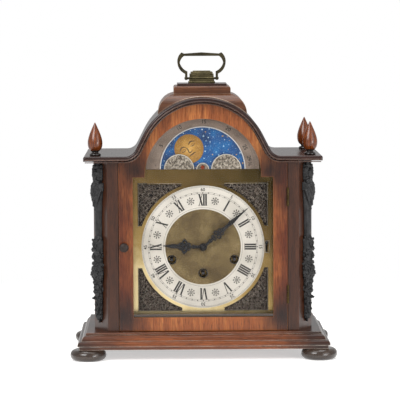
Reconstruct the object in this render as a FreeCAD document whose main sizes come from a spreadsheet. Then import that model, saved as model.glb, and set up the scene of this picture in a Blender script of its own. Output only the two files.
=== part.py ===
"""Bracket clock with a break-arch case, a moon dial and a carrying handle, in millimetres.

X runs to the right, Y to the back and Z up. The origin lies on the shelf, under the middle of the clock.
Every size that can be set by itself stands once in SIZES. The solids take theirs from it by expressions.
"""
import FreeCAD, Part
import math
import os
import re
import Sketcher

SIZES = [
    # feet and base
    ("foot_flat_radius", 16.6), ("foot_height", 14.5),
    ("foot_side_inset", 13.8), ("foot_front_inset", 14), ("foot_back_inset", 14),
    ("base_side_reach", 21.2), ("base_front_reach", 21), ("base_back_reach", 3),
    ("base_board_height", 11.1), ("base_nose", 4.4), ("base_ovolo_inset", 5.3), ("base_ovolo_height", 7.4),
    ("base_ovolo_width", 6), ("base_fillet_height", 3),
    ("base_bead", 1.9),
    # case
    ("case_front", 73), ("case_back", 91), ("shoulder_rise", 21.8),
    ("cant_width", 18.6), ("cant_depth", 33), ("post_wall", 12), ("stile_width", 14.2), ("stile_depth", 14),
    ("side_wall", 9), ("floor_thickness", 8), ("back_wall", 8),
    ("back_opening_half_width", 100), ("back_opening_bottom", 62), ("back_opening_top", 240),
    ("back_door_thickness", 6), ("back_door_gap", 0.9),
    # roof
    ("roof_side_reach", 11.9), ("roof_front_reach", 12), ("roof_thickness", 6.5), ("roof_nose", 2.4),
    ("arch_margin", 11), ("arch_rise", 16.8), ("flank_angle", 63), ("shoulder_sweep", 15.5),
    # caddy and handle
    ("caddy_centre", 6), ("caddy_half_depth", 61), ("caddy_half_width", 58.6), ("caddy_lip", 1.5),
    ("caddy_ovolo", 19.6), ("caddy_rise", 3.1), ("plinth_half_width", 37.8), ("plinth_half_depth", 40.2),
    ("plinth_height", 10.1), ("plinth_round", 3), ("slab_half_width", 33), ("slab_half_depth", 26),
    ("slab_thickness", 3.2), ("saddle_half_width", 18.4), ("saddle_half_depth", 11), ("saddle_height", 16.6),
    ("saddle_corner", 8.5), ("saddle_foot", 4.4), ("saddle_groove", 0.9), ("saddle_pin_depth", 8),
    ("bail_pivot_rise", 6.4), ("bail_pin_radius", 1.5), ("bail_play", 0.08), ("bail_gap", 0.5),
    ("bail_pin_end", 0.8), ("bail_leg", 3.2), ("bail_thickness", 4.6), ("bail_leg_height", 7.6),
    ("bail_half_width", 32.2), ("bail_elbow_height", 20.6), ("bail_bulge", 17), ("bail_corner_x", 26.6),
    ("bail_corner_bulge", 15), ("bail_height", 34.6), ("bail_horn", 1.6), ("bail_grip", 4.8),
    # finials
    ("finial_radius", 9.2), ("finial_height", 43.5), ("finial_collar_height", 7.5),
    ("finial_side_inset", 15), ("finial_front_inset", 28), ("finial_back_inset", 28),
    # corner mounts
    ("mount_bottom_gap", 9.8), ("mount_top_gap", 3), ("mount_half_width", 12.4), ("mount_shift", 0.04),
    # front door
    ("door_gap", 0.9), ("door_top_gap", 2.2), ("door_bottom_gap", 0.6), ("door_thickness", 14),
    ("door_stile_width", 18.6), ("door_light_half_width", 92), ("door_light_bottom", 54.6),
    ("door_light_shoulder", 239.2), ("light_step", 15.5), ("rebate_width", 4), ("rebate_front", 6),
    ("glass_thickness", 2), ("bead_thickness", 3), ("bead_step", 3.5), ("glass_play", 0.3),
    ("door_knob_radius", 6.7), ("door_knob_length", 11), ("door_knob_inset", 6.7), ("door_knob_rise", 2.3),
    ("back_knob_radius", 6), ("back_knob_length", 12), ("back_knob_inset", 13),
    ("hinge_pin_radius", 1), ("hinge_knuckle_radius", 1.7), ("hinge_play", 0.06), ("hinge_length", 24),
    ("hinge_inset", 48), ("hinge_leaf", 0.3), ("hinge_leaf_width", 8), ("hinge_knuckle_gap", 0.4),
    # dial
    ("dial_front", 53), ("dial_plate_thickness", 1.5), ("dial_lap", 4), ("mask_thickness", 8), ("mask_seat", 6),
    ("mask_gap", 0.4),
    ("dial_centre", 145.5), ("ring_outer", 81.2), ("ring_inner", 50), ("ring_thickness", 1),
    ("spandrel_inset", 6), ("spandrel_reach", 58), ("spandrel_gap", 4.3), ("spandrel_thickness", 1.6),
    ("spandrel_rise", 85), ("moon_rise", 9.2), ("moon_light_radius", 55), ("hemisphere_x", 31.1),
    ("hemisphere_radius", 19.9), ("hemisphere_tab", 6), ("hemisphere_thickness", 1), ("hump_radius", 8.6),
    ("moon_disc_lap", 2.5), ("moon_disc_thickness", 0.8), ("moon_disc_gap", 0.6), ("moon_stud_radius", 2.5),
    ("moon_washer", 0.8), ("moon_washer_play", 0.4), ("shaft_play", 0.06),
    # hands and motion work
    ("hour_hand_length", 53), ("hour_hand_width", 9), ("minute_hand_length", 78), ("minute_hand_width", 8.4),
    ("hand_thickness", 0.9), ("hour_hand_lift", 2.6), ("minute_hand_lift", 5), ("hand_boss_radius", 5.2),
    ("nut_radius", 3.6), ("nut_thickness", 2.4),
    ("arbor_radius", 1.6), ("pipe_radius", 3), ("gear_module", 1), ("cannon_teeth", 10), ("minute_teeth", 30),
    ("minute_pinion_teeth", 8), ("hour_teeth", 32), ("gear_thickness", 1.5), ("gear_addendum", 0.8),
    ("gear_dedendum", 1.2), ("gear_backlash", 0.35), ("hour_hand_turn", -88), ("minute_hand_turn", 49),
    ("hour_lozenge", 0.52), ("minute_lozenge", 0.36), ("pipe_end", 0.4), ("stud_end", 0.5),
    ("hour_wheel_depth", 8.5), ("minute_wheel_depth", 12), ("train_angle", 60),
    # winding
    ("winding_x", 41.5), ("winding_drop", 17), ("time_winding_drop", 35), ("winding_hole_radius", 4.6),
    ("winding_arbor_radius", 2.6), ("winding_square", 3.4), ("winding_square_length", 14),
    ("barrel_radius", 19.5), ("barrel_depth", 20),
    ("barrel_gap", 5), ("barrel_rim", 1.5), ("barrel_rim_width", 2), ("winding_end", 0.2),
    # movement
    ("plate_half_width", 62), ("plate_top", 204), ("plate_thickness", 2), ("movement_front", 36),
    ("movement_depth", 34), ("pillar_radius", 4), ("pillar_inset", 8), ("post_radius", 3),
    ("dial_post_x", 52), ("dial_post_z", 38), ("seat_height", 84), ("seat_thickness", 8),
    ("balance_radius", 14), ("balance_x", 34), ("balance_z", 176), ("balance_staff_radius", 0.8),
    ("balance_lift", 2.6), ("balance_rim", 2), ("balance_web_inset", 0.4), ("balance_staff_end", 1.4),
    # chime lever
    ("lever_gap", 2.8), ("lever_slot_drop", 7), ("lever_slot_rise", 6.5), ("lever_slot_half_width", 1.4),
    ("lever_stem_radius", 1.1), ("lever_knob_radius", 2.2), ("lever_knob_gap", 1.2), ("lever_knob_length", 2.8),
    ("lever_foot_gap", 0.3), ("lever_foot", 1), ("lever_end_gap", 0.4),
    # chime
    ("block_half_length", 22), ("block_x", 98), ("block_width", 14), ("block_height", 22), ("chime_y", 27),
    ("rod_radius", 1.5), ("rod_length", 158), ("rod_pitch", 10), ("rod_shortening", 9), ("rod_rise", 14),
    ("hammer_axle_x", 50), ("hammer_axle_rise", 36), ("hammer_axle_radius", 1.5), ("hammer_hub_radius", 4),
    ("hammer_hub_length", 4), ("hammer_head_x", 80), ("hammer_head_radius", 3.6), ("hammer_head_height", 13),
    ("hammer_rest_gap", 0.4), ("hammer_arm", 1.6), ("hammer_arm_end", 4), ("hammer_arm_inset", 0.5),
]

doc = FreeCAD.newDocument("BracketClock")
sizes = doc.addObject("Spreadsheet::Sheet", "Sizes")
for row, (alias, size) in enumerate(SIZES, start=1):
    sizes.set(f"A{row}", str(size))
    sizes.setAlias(f"A{row}", alias)
doc.recompute()

# lengths that follow from the sizes above: the dial sets the door, and the door sets the case
FOLLOWING = {
    "case_half_width": "door_light_half_width + door_stile_width + door_gap + stile_width + cant_width",
    "base_half_width": "case_half_width + base_side_reach",
    "base_front": "case_front + base_front_reach",
    "base_back": "case_back + base_back_reach",
    "foot_x": "base_half_width - foot_side_inset",
    "foot_front_y": "base_front - foot_front_inset",
    "foot_back_y": "base_back - foot_back_inset",
    "case_shoulder": "door_light_shoulder + shoulder_rise",
    "roof_half_width": "case_half_width + roof_side_reach",
    "roof_front": "case_front + roof_front_reach",
    "door_light_radius": "door_light_half_width - light_step",
    "arch_radius": "door_light_radius + arch_margin",
    "arch_height": "door_light_shoulder + arch_rise",
    "caddy_top_height": "arch_height + arch_radius + caddy_rise",
    "finial_x": "roof_half_width - finial_side_inset",
    "spandrel_half_width": "door_light_half_width - spandrel_inset",
    "spandrel_radius": "ring_outer + spandrel_gap",
    "moon_centre": "door_light_shoulder + moon_rise",
    "moon_disc_radius": "moon_light_radius + moon_disc_lap",
    "lever_x": "ring_outer + lever_gap",
    "lever_slot_bottom": "dial_centre - lever_slot_drop",
    "lever_slot_top": "dial_centre + lever_slot_rise",
}
SIZE_WORDS = re.compile(r"\b(" + "|".join(alias for alias, size in SIZES) + r")\b")
FOLLOWING_WORDS = re.compile(r"\b(" + "|".join(FOLLOWING) + r")\b")
parts = {}


def in_sizes(text):
    """The expression with every following length written out in the sheet's own sizes."""
    while FOLLOWING_WORDS.search(text):
        text = FOLLOWING_WORDS.sub(lambda word: f"({FOLLOWING[word.group()]})", text)
    return text


def bound(text):
    """The expression that ties a property to the sheet."""
    return SIZE_WORDS.sub(r"Sizes.\1", in_sizes(text))


def value(text):
    """The number that the expression has now."""
    return float(sizes.evalExpression(in_sizes(text)))


def keep(node, solid):
    """Take a finished sub-part under its own name."""
    solid.Label = node
    parts[node] = solid
    return solid


def bind(thing, **properties):
    for name, text in properties.items():
        thing.setExpression(name.replace("_", "."), bound(text))


def place(thing, x="0", y="0", z="0"):
    bind(thing, Placement_Base_x=x, Placement_Base_y=y, Placement_Base_z=z)


# ---------------------------------------------------------------- sketches
def arc_middle(start, end, radius, turn):
    """Middle point of the short arc between two points; turn is 1 anticlockwise and -1 clockwise."""
    chord = end - start
    rise = radius - math.sqrt(max(radius ** 2 - chord.Length ** 2 / 4, 0))
    outward = FreeCAD.Vector(chord.y, -chord.x, 0).normalize() * turn
    return (start + end) / 2 + outward * rise


def pin_point(sketch, element, end, u, v):
    """Hold one end of an element at expressions u and v."""
    for kind, axis, text in (("DistanceX", -2, u), ("DistanceY", -1, v)):
        if text == "0":
            sketch.addConstraint(Sketcher.Constraint("PointOnObject", element, end, axis))
            continue
        index = sketch.addConstraint(Sketcher.Constraint(kind, -1, 1, element, end, value(text)))
        sketch.setExpression(f"Constraints[{index}]", bound(text))


def draw_circle(sketch, u, v, radius):
    centre = FreeCAD.Vector(value(u), value(v), 0)
    circle = sketch.addGeometry(Part.Circle(centre, FreeCAD.Vector(0, 0, 1), value(radius)))
    pin_point(sketch, circle, 3, u, v)
    index = sketch.addConstraint(Sketcher.Constraint("Radius", circle, value(radius)))
    sketch.setExpression(f"Constraints[{index}]", bound(radius))


def draw_loop(sketch, path):
    """Closed outline. A vertex is (u, v), or (u, v, radius, turn) where an arc leads to the next one."""
    points = [FreeCAD.Vector(value(vertex[0]), value(vertex[1]), 0) for vertex in path]
    elements = []
    for index, vertex in enumerate(path):
        start = points[index]
        end = points[(index + 1) % len(points)]
        if len(vertex) == 2:
            elements.append((sketch.addGeometry(Part.LineSegment(start, end)), 1, 2))
            continue
        middle = arc_middle(start, end, value(vertex[2]), vertex[3])
        if vertex[3] > 0:
            elements.append((sketch.addGeometry(Part.Arc(start, middle, end)), 1, 2))
        else:
            elements.append((sketch.addGeometry(Part.Arc(end, middle, start)), 2, 1))
    for index, vertex in enumerate(path):
        element, first, last = elements[index]
        following, next_first = elements[(index + 1) % len(path)][:2]
        sketch.addConstraint(Sketcher.Constraint("Coincident", element, last, following, next_first))
        pin_point(sketch, element, first, vertex[0], vertex[1])
        if len(vertex) == 4:
            radius = sketch.addConstraint(Sketcher.Constraint("Radius", element, value(vertex[2])))
            sketch.setExpression(f"Constraints[{radius}]", bound(vertex[2]))


def draw(body, name, plane, height, loops):
    """Sketch on one of the body's own planes, at a height along the plane's normal."""
    planes = {feature.Role: feature for feature in body.Origin.OriginFeatures}
    sketch = body.newObject("Sketcher::SketchObject", name)
    sketch.AttachmentSupport = (planes[plane], [""])
    sketch.MapMode = "FlatFace"
    sketch.setExpression("AttachmentOffset.Base.z", bound(height))
    for loop in loops:
        if loop[0] == "circle":
            draw_circle(sketch, *loop[1:])
        else:
            draw_loop(sketch, loop)
    return sketch


def mirrored(half):
    """Whole outline from its right half, which is drawn upwards."""
    whole = list(half)
    for index in range(len(half) - 1, -1, -1):
        arc = tuple(half[index - 1][2:]) if index > 0 else ()
        whole.append(("-(" + half[index][0] + ")", half[index][1]) + arc)
    return whole


def rectangle(left, right, bottom, top):
    return [(left, bottom), (right, bottom), (right, top), (left, top)]


# ---------------------------------------------------------------- solids
def new_body(name):
    return doc.addObject("PartDesign::Body", name + "_body")


def pad(name, plane, height, length, loops):
    """Flat-sided solid: a sketch on a plane, padded along the plane's normal."""
    body = new_body(name)
    sketch = draw(body, name + "_outline", plane, height, loops)
    solid = body.newObject("PartDesign::Pad", name + "_pad")
    solid.Profile = sketch
    solid.setExpression("Length", bound(length))
    body.Tip = solid
    return body


def front_board(name, front, thickness, loops):
    """Board that faces the front: outline in X and Z, its front face at Y = front."""
    back = f"-(({front}) + ({thickness}))"
    return pad(name, "XZ_Plane", back, thickness, loops)


def level_board(name, bottom, thickness, loops):
    """Board that lies flat: outline in X and Y."""
    return pad(name, "XY_Plane", bottom, thickness, loops)


def turned(name, path, axis="V_Axis", plane="XZ_Plane"):
    """Turned piece: half outline (radius, height), turned about the sketch's upright axis."""
    body = new_body(name)
    sketch = draw(body, name + "_outline", plane, "0", [path])
    solid = body.newObject("PartDesign::Revolution", name + "_turn")
    solid.Profile = sketch
    solid.ReferenceAxis = (sketch, [axis])
    solid.Angle = 360
    body.Tip = solid
    return body


def turned_back(name, path):
    """Turned piece on an axis that runs to the back: half outline (radius, Y)."""
    return turned(name, path, "V_Axis", "XY_Plane")


def box(name, left, right, front, back, bottom, top):
    solid = doc.addObject("Part::Box", name)
    bind(solid, Length=f"({right}) - ({left})", Width=f"({back}) - ({front})", Height=f"({top}) - ({bottom})")
    place(solid, left, front, bottom)
    return solid


def rod_back(name, x, z, radius, front, back):
    """Round rod that runs to the back."""
    solid = doc.addObject("Part::Cylinder", name)
    solid.Placement.Rotation = FreeCAD.Rotation(FreeCAD.Vector(1, 0, 0), -90)
    bind(solid, Radius=radius, Height=f"({back}) - ({front})")
    place(solid, x, front, z)
    return solid


def rod_right(name, left, right, y, z, radius):
    """Round rod that runs to the right."""
    solid = doc.addObject("Part::Cylinder", name)
    solid.Placement.Rotation = FreeCAD.Rotation(FreeCAD.Vector(0, 1, 0), 90)
    bind(solid, Radius=radius, Height=f"({right}) - ({left})")
    place(solid, left, y, z)
    return solid


def rod_up(name, x, y, bottom, top, radius):
    solid = doc.addObject("Part::Cylinder", name)
    bind(solid, Radius=radius, Height=f"({top}) - ({bottom})")
    place(solid, x, y, bottom)
    return solid


def fuse(name, solids):
    whole = doc.addObject("Part::MultiFuse", name)
    whole.Shapes = solids
    return whole


def common(name, solids):
    whole = doc.addObject("Part::MultiCommon", name)
    whole.Shapes = solids
    return whole


def cut(name, solid, tool):
    rest = doc.addObject("Part::Cut", name)
    rest.Base = solid
    rest.Tool = tool
    return rest


def group(name, solids):
    """Separate like pieces that share one node."""
    whole = doc.addObject("Part::Compound", name)
    whole.Links = solids
    return whole


def round_edges(body, name, edges, radius):
    """Round the named edges of a body."""
    before = body.Tip
    rounding = body.newObject("PartDesign::Fillet", name)
    rounding.Base = (before, edges)
    rounding.setExpression("Radius", bound(radius))
    body.Tip = rounding


# ---------------------------------------------------------------- heights that follow from the sizes
BASE_BOTTOM = "foot_height"
OVOLO_BOTTOM = "foot_height + base_board_height"
OVOLO_TOP = OVOLO_BOTTOM + " + base_ovolo_height"
CASE_BOTTOM = OVOLO_TOP + " + base_fillet_height"
FLOOR_TOP = CASE_BOTTOM + " + floor_thickness"
ROOF_TOP = "case_shoulder + roof_thickness"
PLINTH_TOP = "caddy_top_height + plinth_height"
SLAB_TOP = PLINTH_TOP + " + slab_thickness"
BAIL_AXIS = SLAB_TOP + " + bail_pivot_rise"
DIAL_BACK = "-dial_front + dial_plate_thickness"
MASK_BACK = DIAL_BACK + " + mask_thickness"
POST_INNER_X = "case_half_width - post_wall * sqrt(cant_width^2 + cant_depth^2) / cant_depth"
STILE_X = "case_half_width - cant_width"
CANT_BACK = "-case_front + cant_depth"
OPENING_X = STILE_X + " - stile_width"
PANEL_X = "case_half_width - side_wall"
MOUNT_BOTTOM = CASE_BOTTOM + " + mount_bottom_gap"
MOUNT_TOP = "case_shoulder - mount_top_gap"


def arch_outline(inset, edge, shoulder_edge):
    """Right half of a break-arch line, parallel to the roof's upper line and inset from it.

    It runs along the shoulder, up the concave sweep and the straight flank, and over the arch.
    """
    sweep_z = "(case_shoulder + roof_thickness + shoulder_sweep)"
    sweep_x = f"((arch_radius + shoulder_sweep - cos(flank_angle) * ({sweep_z} - arch_height)) / sin(flank_angle))"
    sweep_radius = f"(shoulder_sweep + ({inset}))"
    arch = f"(arch_radius - ({inset}))"
    return [
        (edge, shoulder_edge),
        (sweep_x, f"{sweep_z} - {sweep_radius}", sweep_radius, -1),
        (f"{sweep_x} - {sweep_radius} * sin(flank_angle)", f"{sweep_z} - {sweep_radius} * cos(flank_angle)"),
        (f"{arch} * sin(flank_angle)", f"arch_height + {arch} * cos(flank_angle)", arch, 1),
        ("0", f"arch_height + {arch}", arch, 1),
    ]


def backwards(line):
    """The same line drawn the other way."""
    other = []
    for index in range(len(line) - 1, -1, -1):
        arc = flipped(line[index - 1][2:]) if index > 0 else ()
        other.append((line[index][0], line[index][1]) + arc)
    return other


def flipped(arc):
    """The same arc on a mirrored outline."""
    return (arc[0], -arc[1]) if arc else ()


def over_the_top(half):
    """Whole outline from a right half that ends on the centre line."""
    whole = list(half)
    for index in range(len(half) - 2, -1, -1):
        arc = tuple(half[index - 1][2:]) if index > 0 else ()
        whole.append(("-(" + half[index][0] + ")", half[index][1]) + arc)
    return whole


# ---------------------------------------------------------------- feet and base
def make_feet():
    """Four round bun feet, turned, flat below and above."""
    feet = []
    rim = "(foot_height / 2)"
    for side, x in (("left", "-foot_x"), ("right", "foot_x")):
        for end, y in (("front", "-foot_front_y"), ("back", "foot_back_y")):
            foot = turned(f"foot_{end}_{side}", [
                ("0", "0"),
                ("foot_flat_radius", "0", rim, 1),
                (f"foot_flat_radius + {rim}", rim, rim, 1),
                ("foot_flat_radius", "foot_height"),
                ("0", "foot_height"),
            ])
            place(foot, x, y)
            feet.append(foot)
    keep("bun_feet", group("feet", feet))


def base_line(reach):
    """Moulded edge of the base, drawn upwards: nose, quarter round and top fillet."""
    ovolo = f"{reach} - base_ovolo_inset"
    nose_z = OVOLO_BOTTOM + " - base_nose"
    return [
        (f"{reach} - base_nose / 2", BASE_BOTTOM),
        (f"{reach} - base_nose / 2", nose_z + " - base_nose / 2"),
        (reach, nose_z + " - base_nose / 2"),
        (reach, nose_z, "base_nose", 1),
        (f"{reach} - base_nose", OVOLO_BOTTOM),
        (ovolo, OVOLO_BOTTOM, "base_ovolo_height", 1),
        (f"{ovolo} - base_ovolo_width", OVOLO_TOP, "base_bead", 1),
        (f"{ovolo} - base_ovolo_width", CASE_BOTTOM),
    ]


def make_base():
    """Moulded base: the front and side mouldings meet in mitres, and the back is flush."""
    across = pad("base_across", "XZ_Plane", "-base_back", "base_front + base_back",
                 [mirrored(base_line("base_half_width"))])
    front_line = [("-(" + vertex[0] + ")", vertex[1]) + flipped(vertex[2:]) for vertex in base_line("base_front")]
    front_line = front_line + [("base_back", CASE_BOTTOM), ("base_back", BASE_BOTTOM)]
    along = pad("base_along", "YZ_Plane", "-base_half_width", "2 * base_half_width", [front_line])
    keep("base_plinth", common("base", [across, along]))


# ---------------------------------------------------------------- case
def make_case_walls():
    """Floor, side panels and corner posts. A post is the front stile and the canted corner in one."""
    floor = [
        (STILE_X, "-case_front + stile_depth + 2"),
        (STILE_X, "-case_front + stile_depth + post_wall"),
        (POST_INNER_X, CANT_BACK),
        (PANEL_X, CANT_BACK),
        (PANEL_X, "case_back - back_wall"),
    ]
    keep("case_floor", level_board("floor", CASE_BOTTOM, "floor_thickness", [mirrored(floor)]))
    for side, sign in (("left", "-"), ("right", "")):
        near = f"{sign}(case_half_width)" if sign else PANEL_X
        far = f"-({PANEL_X})" if sign else "case_half_width"
        keep(f"side_panel_{side}", box(f"panel_{side}", near, far, CANT_BACK, "case_back", CASE_BOTTOM,
                                       "case_shoulder"))
        post = [
            (OPENING_X, "-case_front"),
            (STILE_X, "-case_front"),
            ("case_half_width", CANT_BACK),
            (POST_INNER_X, CANT_BACK),
            (STILE_X, "-case_front + stile_depth + post_wall"),
            (STILE_X, "-case_front + stile_depth"),
            (OPENING_X, "-case_front + stile_depth"),
        ]
        if sign:
            post = [("-(" + x + ")", y) for x, y in reversed(post)]
        keep(f"corner_post_{side}", level_board(f"post_{side}", CASE_BOTTOM, f"case_shoulder - ({CASE_BOTTOM})",
                                                [post]))


def make_back():
    """Arched back board between the side panels, with the opening that the back door closes."""
    outline = over_the_top([(PANEL_X, CASE_BOTTOM)] + arch_outline("roof_thickness", PANEL_X, "case_shoulder"))
    opening = rectangle("-back_opening_half_width", "back_opening_half_width", "back_opening_bottom",
                        "back_opening_top")
    keep("back_frame", front_board("back", "case_back - back_wall", "back_wall", [outline, opening]))
    gap = "back_door_gap"
    door = rectangle(f"-back_opening_half_width + {gap}", f"back_opening_half_width - {gap}",
                     f"back_opening_bottom + {gap}", f"back_opening_top - {gap}")
    keep("back_door", front_board("back_door_board", "case_back - back_door_thickness", "back_door_thickness",
                                  [door]))
    knob = turned_back("back_knob", [
        ("0", "0"),
        ("back_knob_radius / 2", "0"),
        ("back_knob_radius / 2", "back_knob_length * 0.4"),
        ("back_knob_radius", "back_knob_length * 0.6", "back_knob_radius * 0.9", 1),
        ("back_knob_radius * 0.7", "back_knob_length"),
        ("0", "back_knob_length"),
    ])
    place(knob, "-back_opening_half_width + back_door_gap + back_knob_inset", "case_back",
          "(back_opening_bottom + back_opening_top) / 2")
    keep("back_door_knob", knob)


# ---------------------------------------------------------------- roof, caddy and handle
def make_roof():
    """Break-arch cover: one bent board that follows the arch, with a rounded nose on its front edges."""
    upper = arch_outline("0", "roof_half_width", ROOF_TOP)
    lower = arch_outline("roof_thickness", "roof_half_width", "case_shoulder")
    board = front_board("roof", "-roof_front", "roof_front + case_back",
                        [over_the_top(upper) + backwards(over_the_top(lower))])
    doc.recompute()
    front = [f"Edge{index}" for index, edge in enumerate(board.Shape.Edges, start=1)
             if edge.BoundBox.YMax < value("-roof_front") + 0.01 and edge.BoundBox.ZMax > value(ROOF_TOP) - 0.01]
    ends = [f"Edge{index}" for index, edge in enumerate(board.Shape.Edges, start=1)
            if edge.BoundBox.ZMin > value(ROOF_TOP) - 0.01 and edge.BoundBox.YLength > value("case_back")
            and max(abs(edge.BoundBox.XMin), abs(edge.BoundBox.XMax)) > value("roof_half_width") - 0.01]
    round_edges(board, "roof_nose_round", front + ends, "roof_nose")
    keep("roof_board", board)


def make_caddy():
    """Ovolo caddy that sits astride the arch, with its plinth and thin slab above."""
    lip = "(sqrt(arch_radius^2 - caddy_half_width^2) + arch_height)"
    across = front_board("caddy_across", "caddy_centre - caddy_half_depth", "2 * caddy_half_depth", [[
        ("0", "arch_height + arch_radius", "arch_radius", -1),
        ("caddy_half_width", lip),
        ("caddy_half_width", f"{lip} + caddy_lip", f"caddy_top_height - {lip} - caddy_lip + 2", 1),
        ("caddy_half_width - caddy_ovolo", "caddy_top_height"),
        ("-caddy_half_width + caddy_ovolo", "caddy_top_height",
         f"caddy_top_height - {lip} - caddy_lip + 2", 1),
        ("-caddy_half_width", f"{lip} + caddy_lip"),
        ("-caddy_half_width", lip, "arch_radius", -1),
    ]])
    front = "caddy_centre - caddy_half_depth"
    back = "caddy_centre + caddy_half_depth"
    along = pad("caddy_along", "YZ_Plane", "-caddy_half_width", "2 * caddy_half_width", [[
        (front, "arch_height"),
        (back, "arch_height"),
        (back, f"{lip} + caddy_lip", f"caddy_top_height - {lip} - caddy_lip + 2", 1),
        (f"{back} - caddy_ovolo", "caddy_top_height"),
        (f"{front} + caddy_ovolo", "caddy_top_height", f"caddy_top_height - {lip} - caddy_lip + 2", 1),
        (front, f"{lip} + caddy_lip"),
    ]])
    keep("caddy_top", common("caddy", [across, along]))
    plinth = level_board("plinth", "caddy_top_height", "plinth_height", [rectangle(
        "-plinth_half_width", "plinth_half_width", "caddy_centre - plinth_half_depth",
        "caddy_centre + plinth_half_depth")])
    doc.recompute()
    top = [f"Edge{index}" for index, edge in enumerate(plinth.Shape.Edges, start=1)
           if edge.BoundBox.ZMin > value(PLINTH_TOP) - 0.01]
    round_edges(plinth, "plinth_rounding", top, "plinth_round")
    keep("caddy_plinth", plinth)
    keep("handle_slab", box("slab", "-slab_half_width", "slab_half_width", "caddy_centre - slab_half_depth",
                            "caddy_centre + slab_half_depth", PLINTH_TOP, SLAB_TOP))


def make_handle():
    """Bronze saddle, rounded like a loaf and ribbed, its two pins, and the bail that swings on them."""
    half = "saddle_half_width"
    crown = "saddle_height - saddle_foot"
    across = front_board("saddle_across", "caddy_centre - saddle_half_depth", "2 * saddle_half_depth", [mirrored([
        (half, SLAB_TOP),
        (half, f"{SLAB_TOP} + saddle_height - saddle_corner", "saddle_corner", 1),
        (f"{half} - saddle_corner", f"{SLAB_TOP} + saddle_height"),
    ])])
    front_side = []
    steps = 3
    for step in range(steps + 1):
        turn = math.radians(76 * step / steps)
        y = f"saddle_half_depth * {math.cos(turn):.3f}"
        z = f"{SLAB_TOP} + saddle_foot + ({crown}) * {math.sin(turn) / math.sin(math.radians(76)):.3f}"
        if step:
            front_side.append((f"{y} + saddle_groove", z_before))
        front_side.append((y, z))
        z_before = z
    ribs = [("saddle_half_depth", SLAB_TOP)] + front_side
    rear_side = [("-(" + y + ")", z) for y, z in reversed(ribs)]
    along = pad("saddle_along", "YZ_Plane", f"-{half}", f"2 * {half}", [ribs + rear_side])
    place(along, "0", "caddy_centre", "0")
    saddle = common("saddle_block", [across, along])
    bore = rod_right("saddle_bore", "-2 * saddle_half_width", "2 * saddle_half_width", "caddy_centre", BAIL_AXIS,
                     "bail_pin_radius")
    keep("handle_saddle", cut("saddle", saddle, bore))
    pin_end = "saddle_half_width + bail_gap + bail_leg + bail_pin_end"
    pin_start = "saddle_half_width - saddle_pin_depth"
    pins = [
        rod_right("pin_left", f"-({pin_end})", f"-({pin_start})", "caddy_centre", BAIL_AXIS, "bail_pin_radius"),
        rod_right("pin_right", pin_start, pin_end, "caddy_centre", BAIL_AXIS, "bail_pin_radius"),
    ]
    keep("handle_pins", group("pins", pins))
    inner = "(saddle_half_width + bail_gap)"
    outer = f"({inner} + bail_leg)"
    foot = f"{BAIL_AXIS} - bail_thickness / 2"
    top = f"{BAIL_AXIS} + bail_height"
    leg_top = f"{BAIL_AXIS} + bail_leg_height"
    elbow = f"{BAIL_AXIS} + bail_elbow_height"
    outside = [
        (outer, foot),
        (outer, f"{leg_top} - bail_leg / 2", "bail_bulge", 1),
        ("bail_half_width", elbow, "bail_corner_bulge", 1),
        ("bail_corner_x", top),
        ("bail_corner_x - bail_leg", f"{top} - bail_horn"),
        ("0", top),
    ]
    inside = [
        (inner, foot),
        (inner, f"{leg_top} + bail_leg / 2", "bail_bulge", 1),
        ("bail_half_width - bail_leg", elbow, "bail_corner_bulge - bail_leg / 2", 1),
        ("bail_corner_x - bail_leg", f"{top} - bail_horn - bail_leg"),
        ("0", f"{top} - bail_grip"),
    ]
    bail = front_board("bail", "caddy_centre - bail_thickness / 2", "bail_thickness",
                       [over_the_top(outside) + backwards(over_the_top(inside))])
    eye = rod_right("bail_eye", "-2 * bail_half_width", "2 * bail_half_width", "caddy_centre", BAIL_AXIS,
                    "bail_pin_radius + bail_play")
    keep("carry_handle", cut("handle", bail, eye))


def make_finials():
    """Turned finials: dark collar, acorn bulb and point. The back left one is not on this clock."""
    front = "-roof_front + finial_front_inset"
    for name, x, y in (("front_left", "-finial_x", front), ("front_right", "finial_x", front),
                       ("back_right", "finial_x", "case_back - finial_back_inset")):
        finial = turned(f"finial_turning_{name}", [
            ("0", "0"),
            ("finial_radius * 0.82", "0"),
            ("finial_radius * 0.82", "finial_collar_height * 0.35"),
            ("finial_radius * 0.5", "finial_collar_height * 0.6"),
            ("finial_radius * 0.5", "finial_collar_height", "finial_radius * 0.9", 1),
            ("finial_radius", "finial_height * 0.42", "finial_height * 0.62", 1),
            ("finial_radius * 0.42", "finial_height * 0.83", "finial_height", -1),
            ("0", "finial_height"),
        ])
        place(finial, x, y, ROOF_TOP)
        keep(f"finial_{name}", finial)


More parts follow.
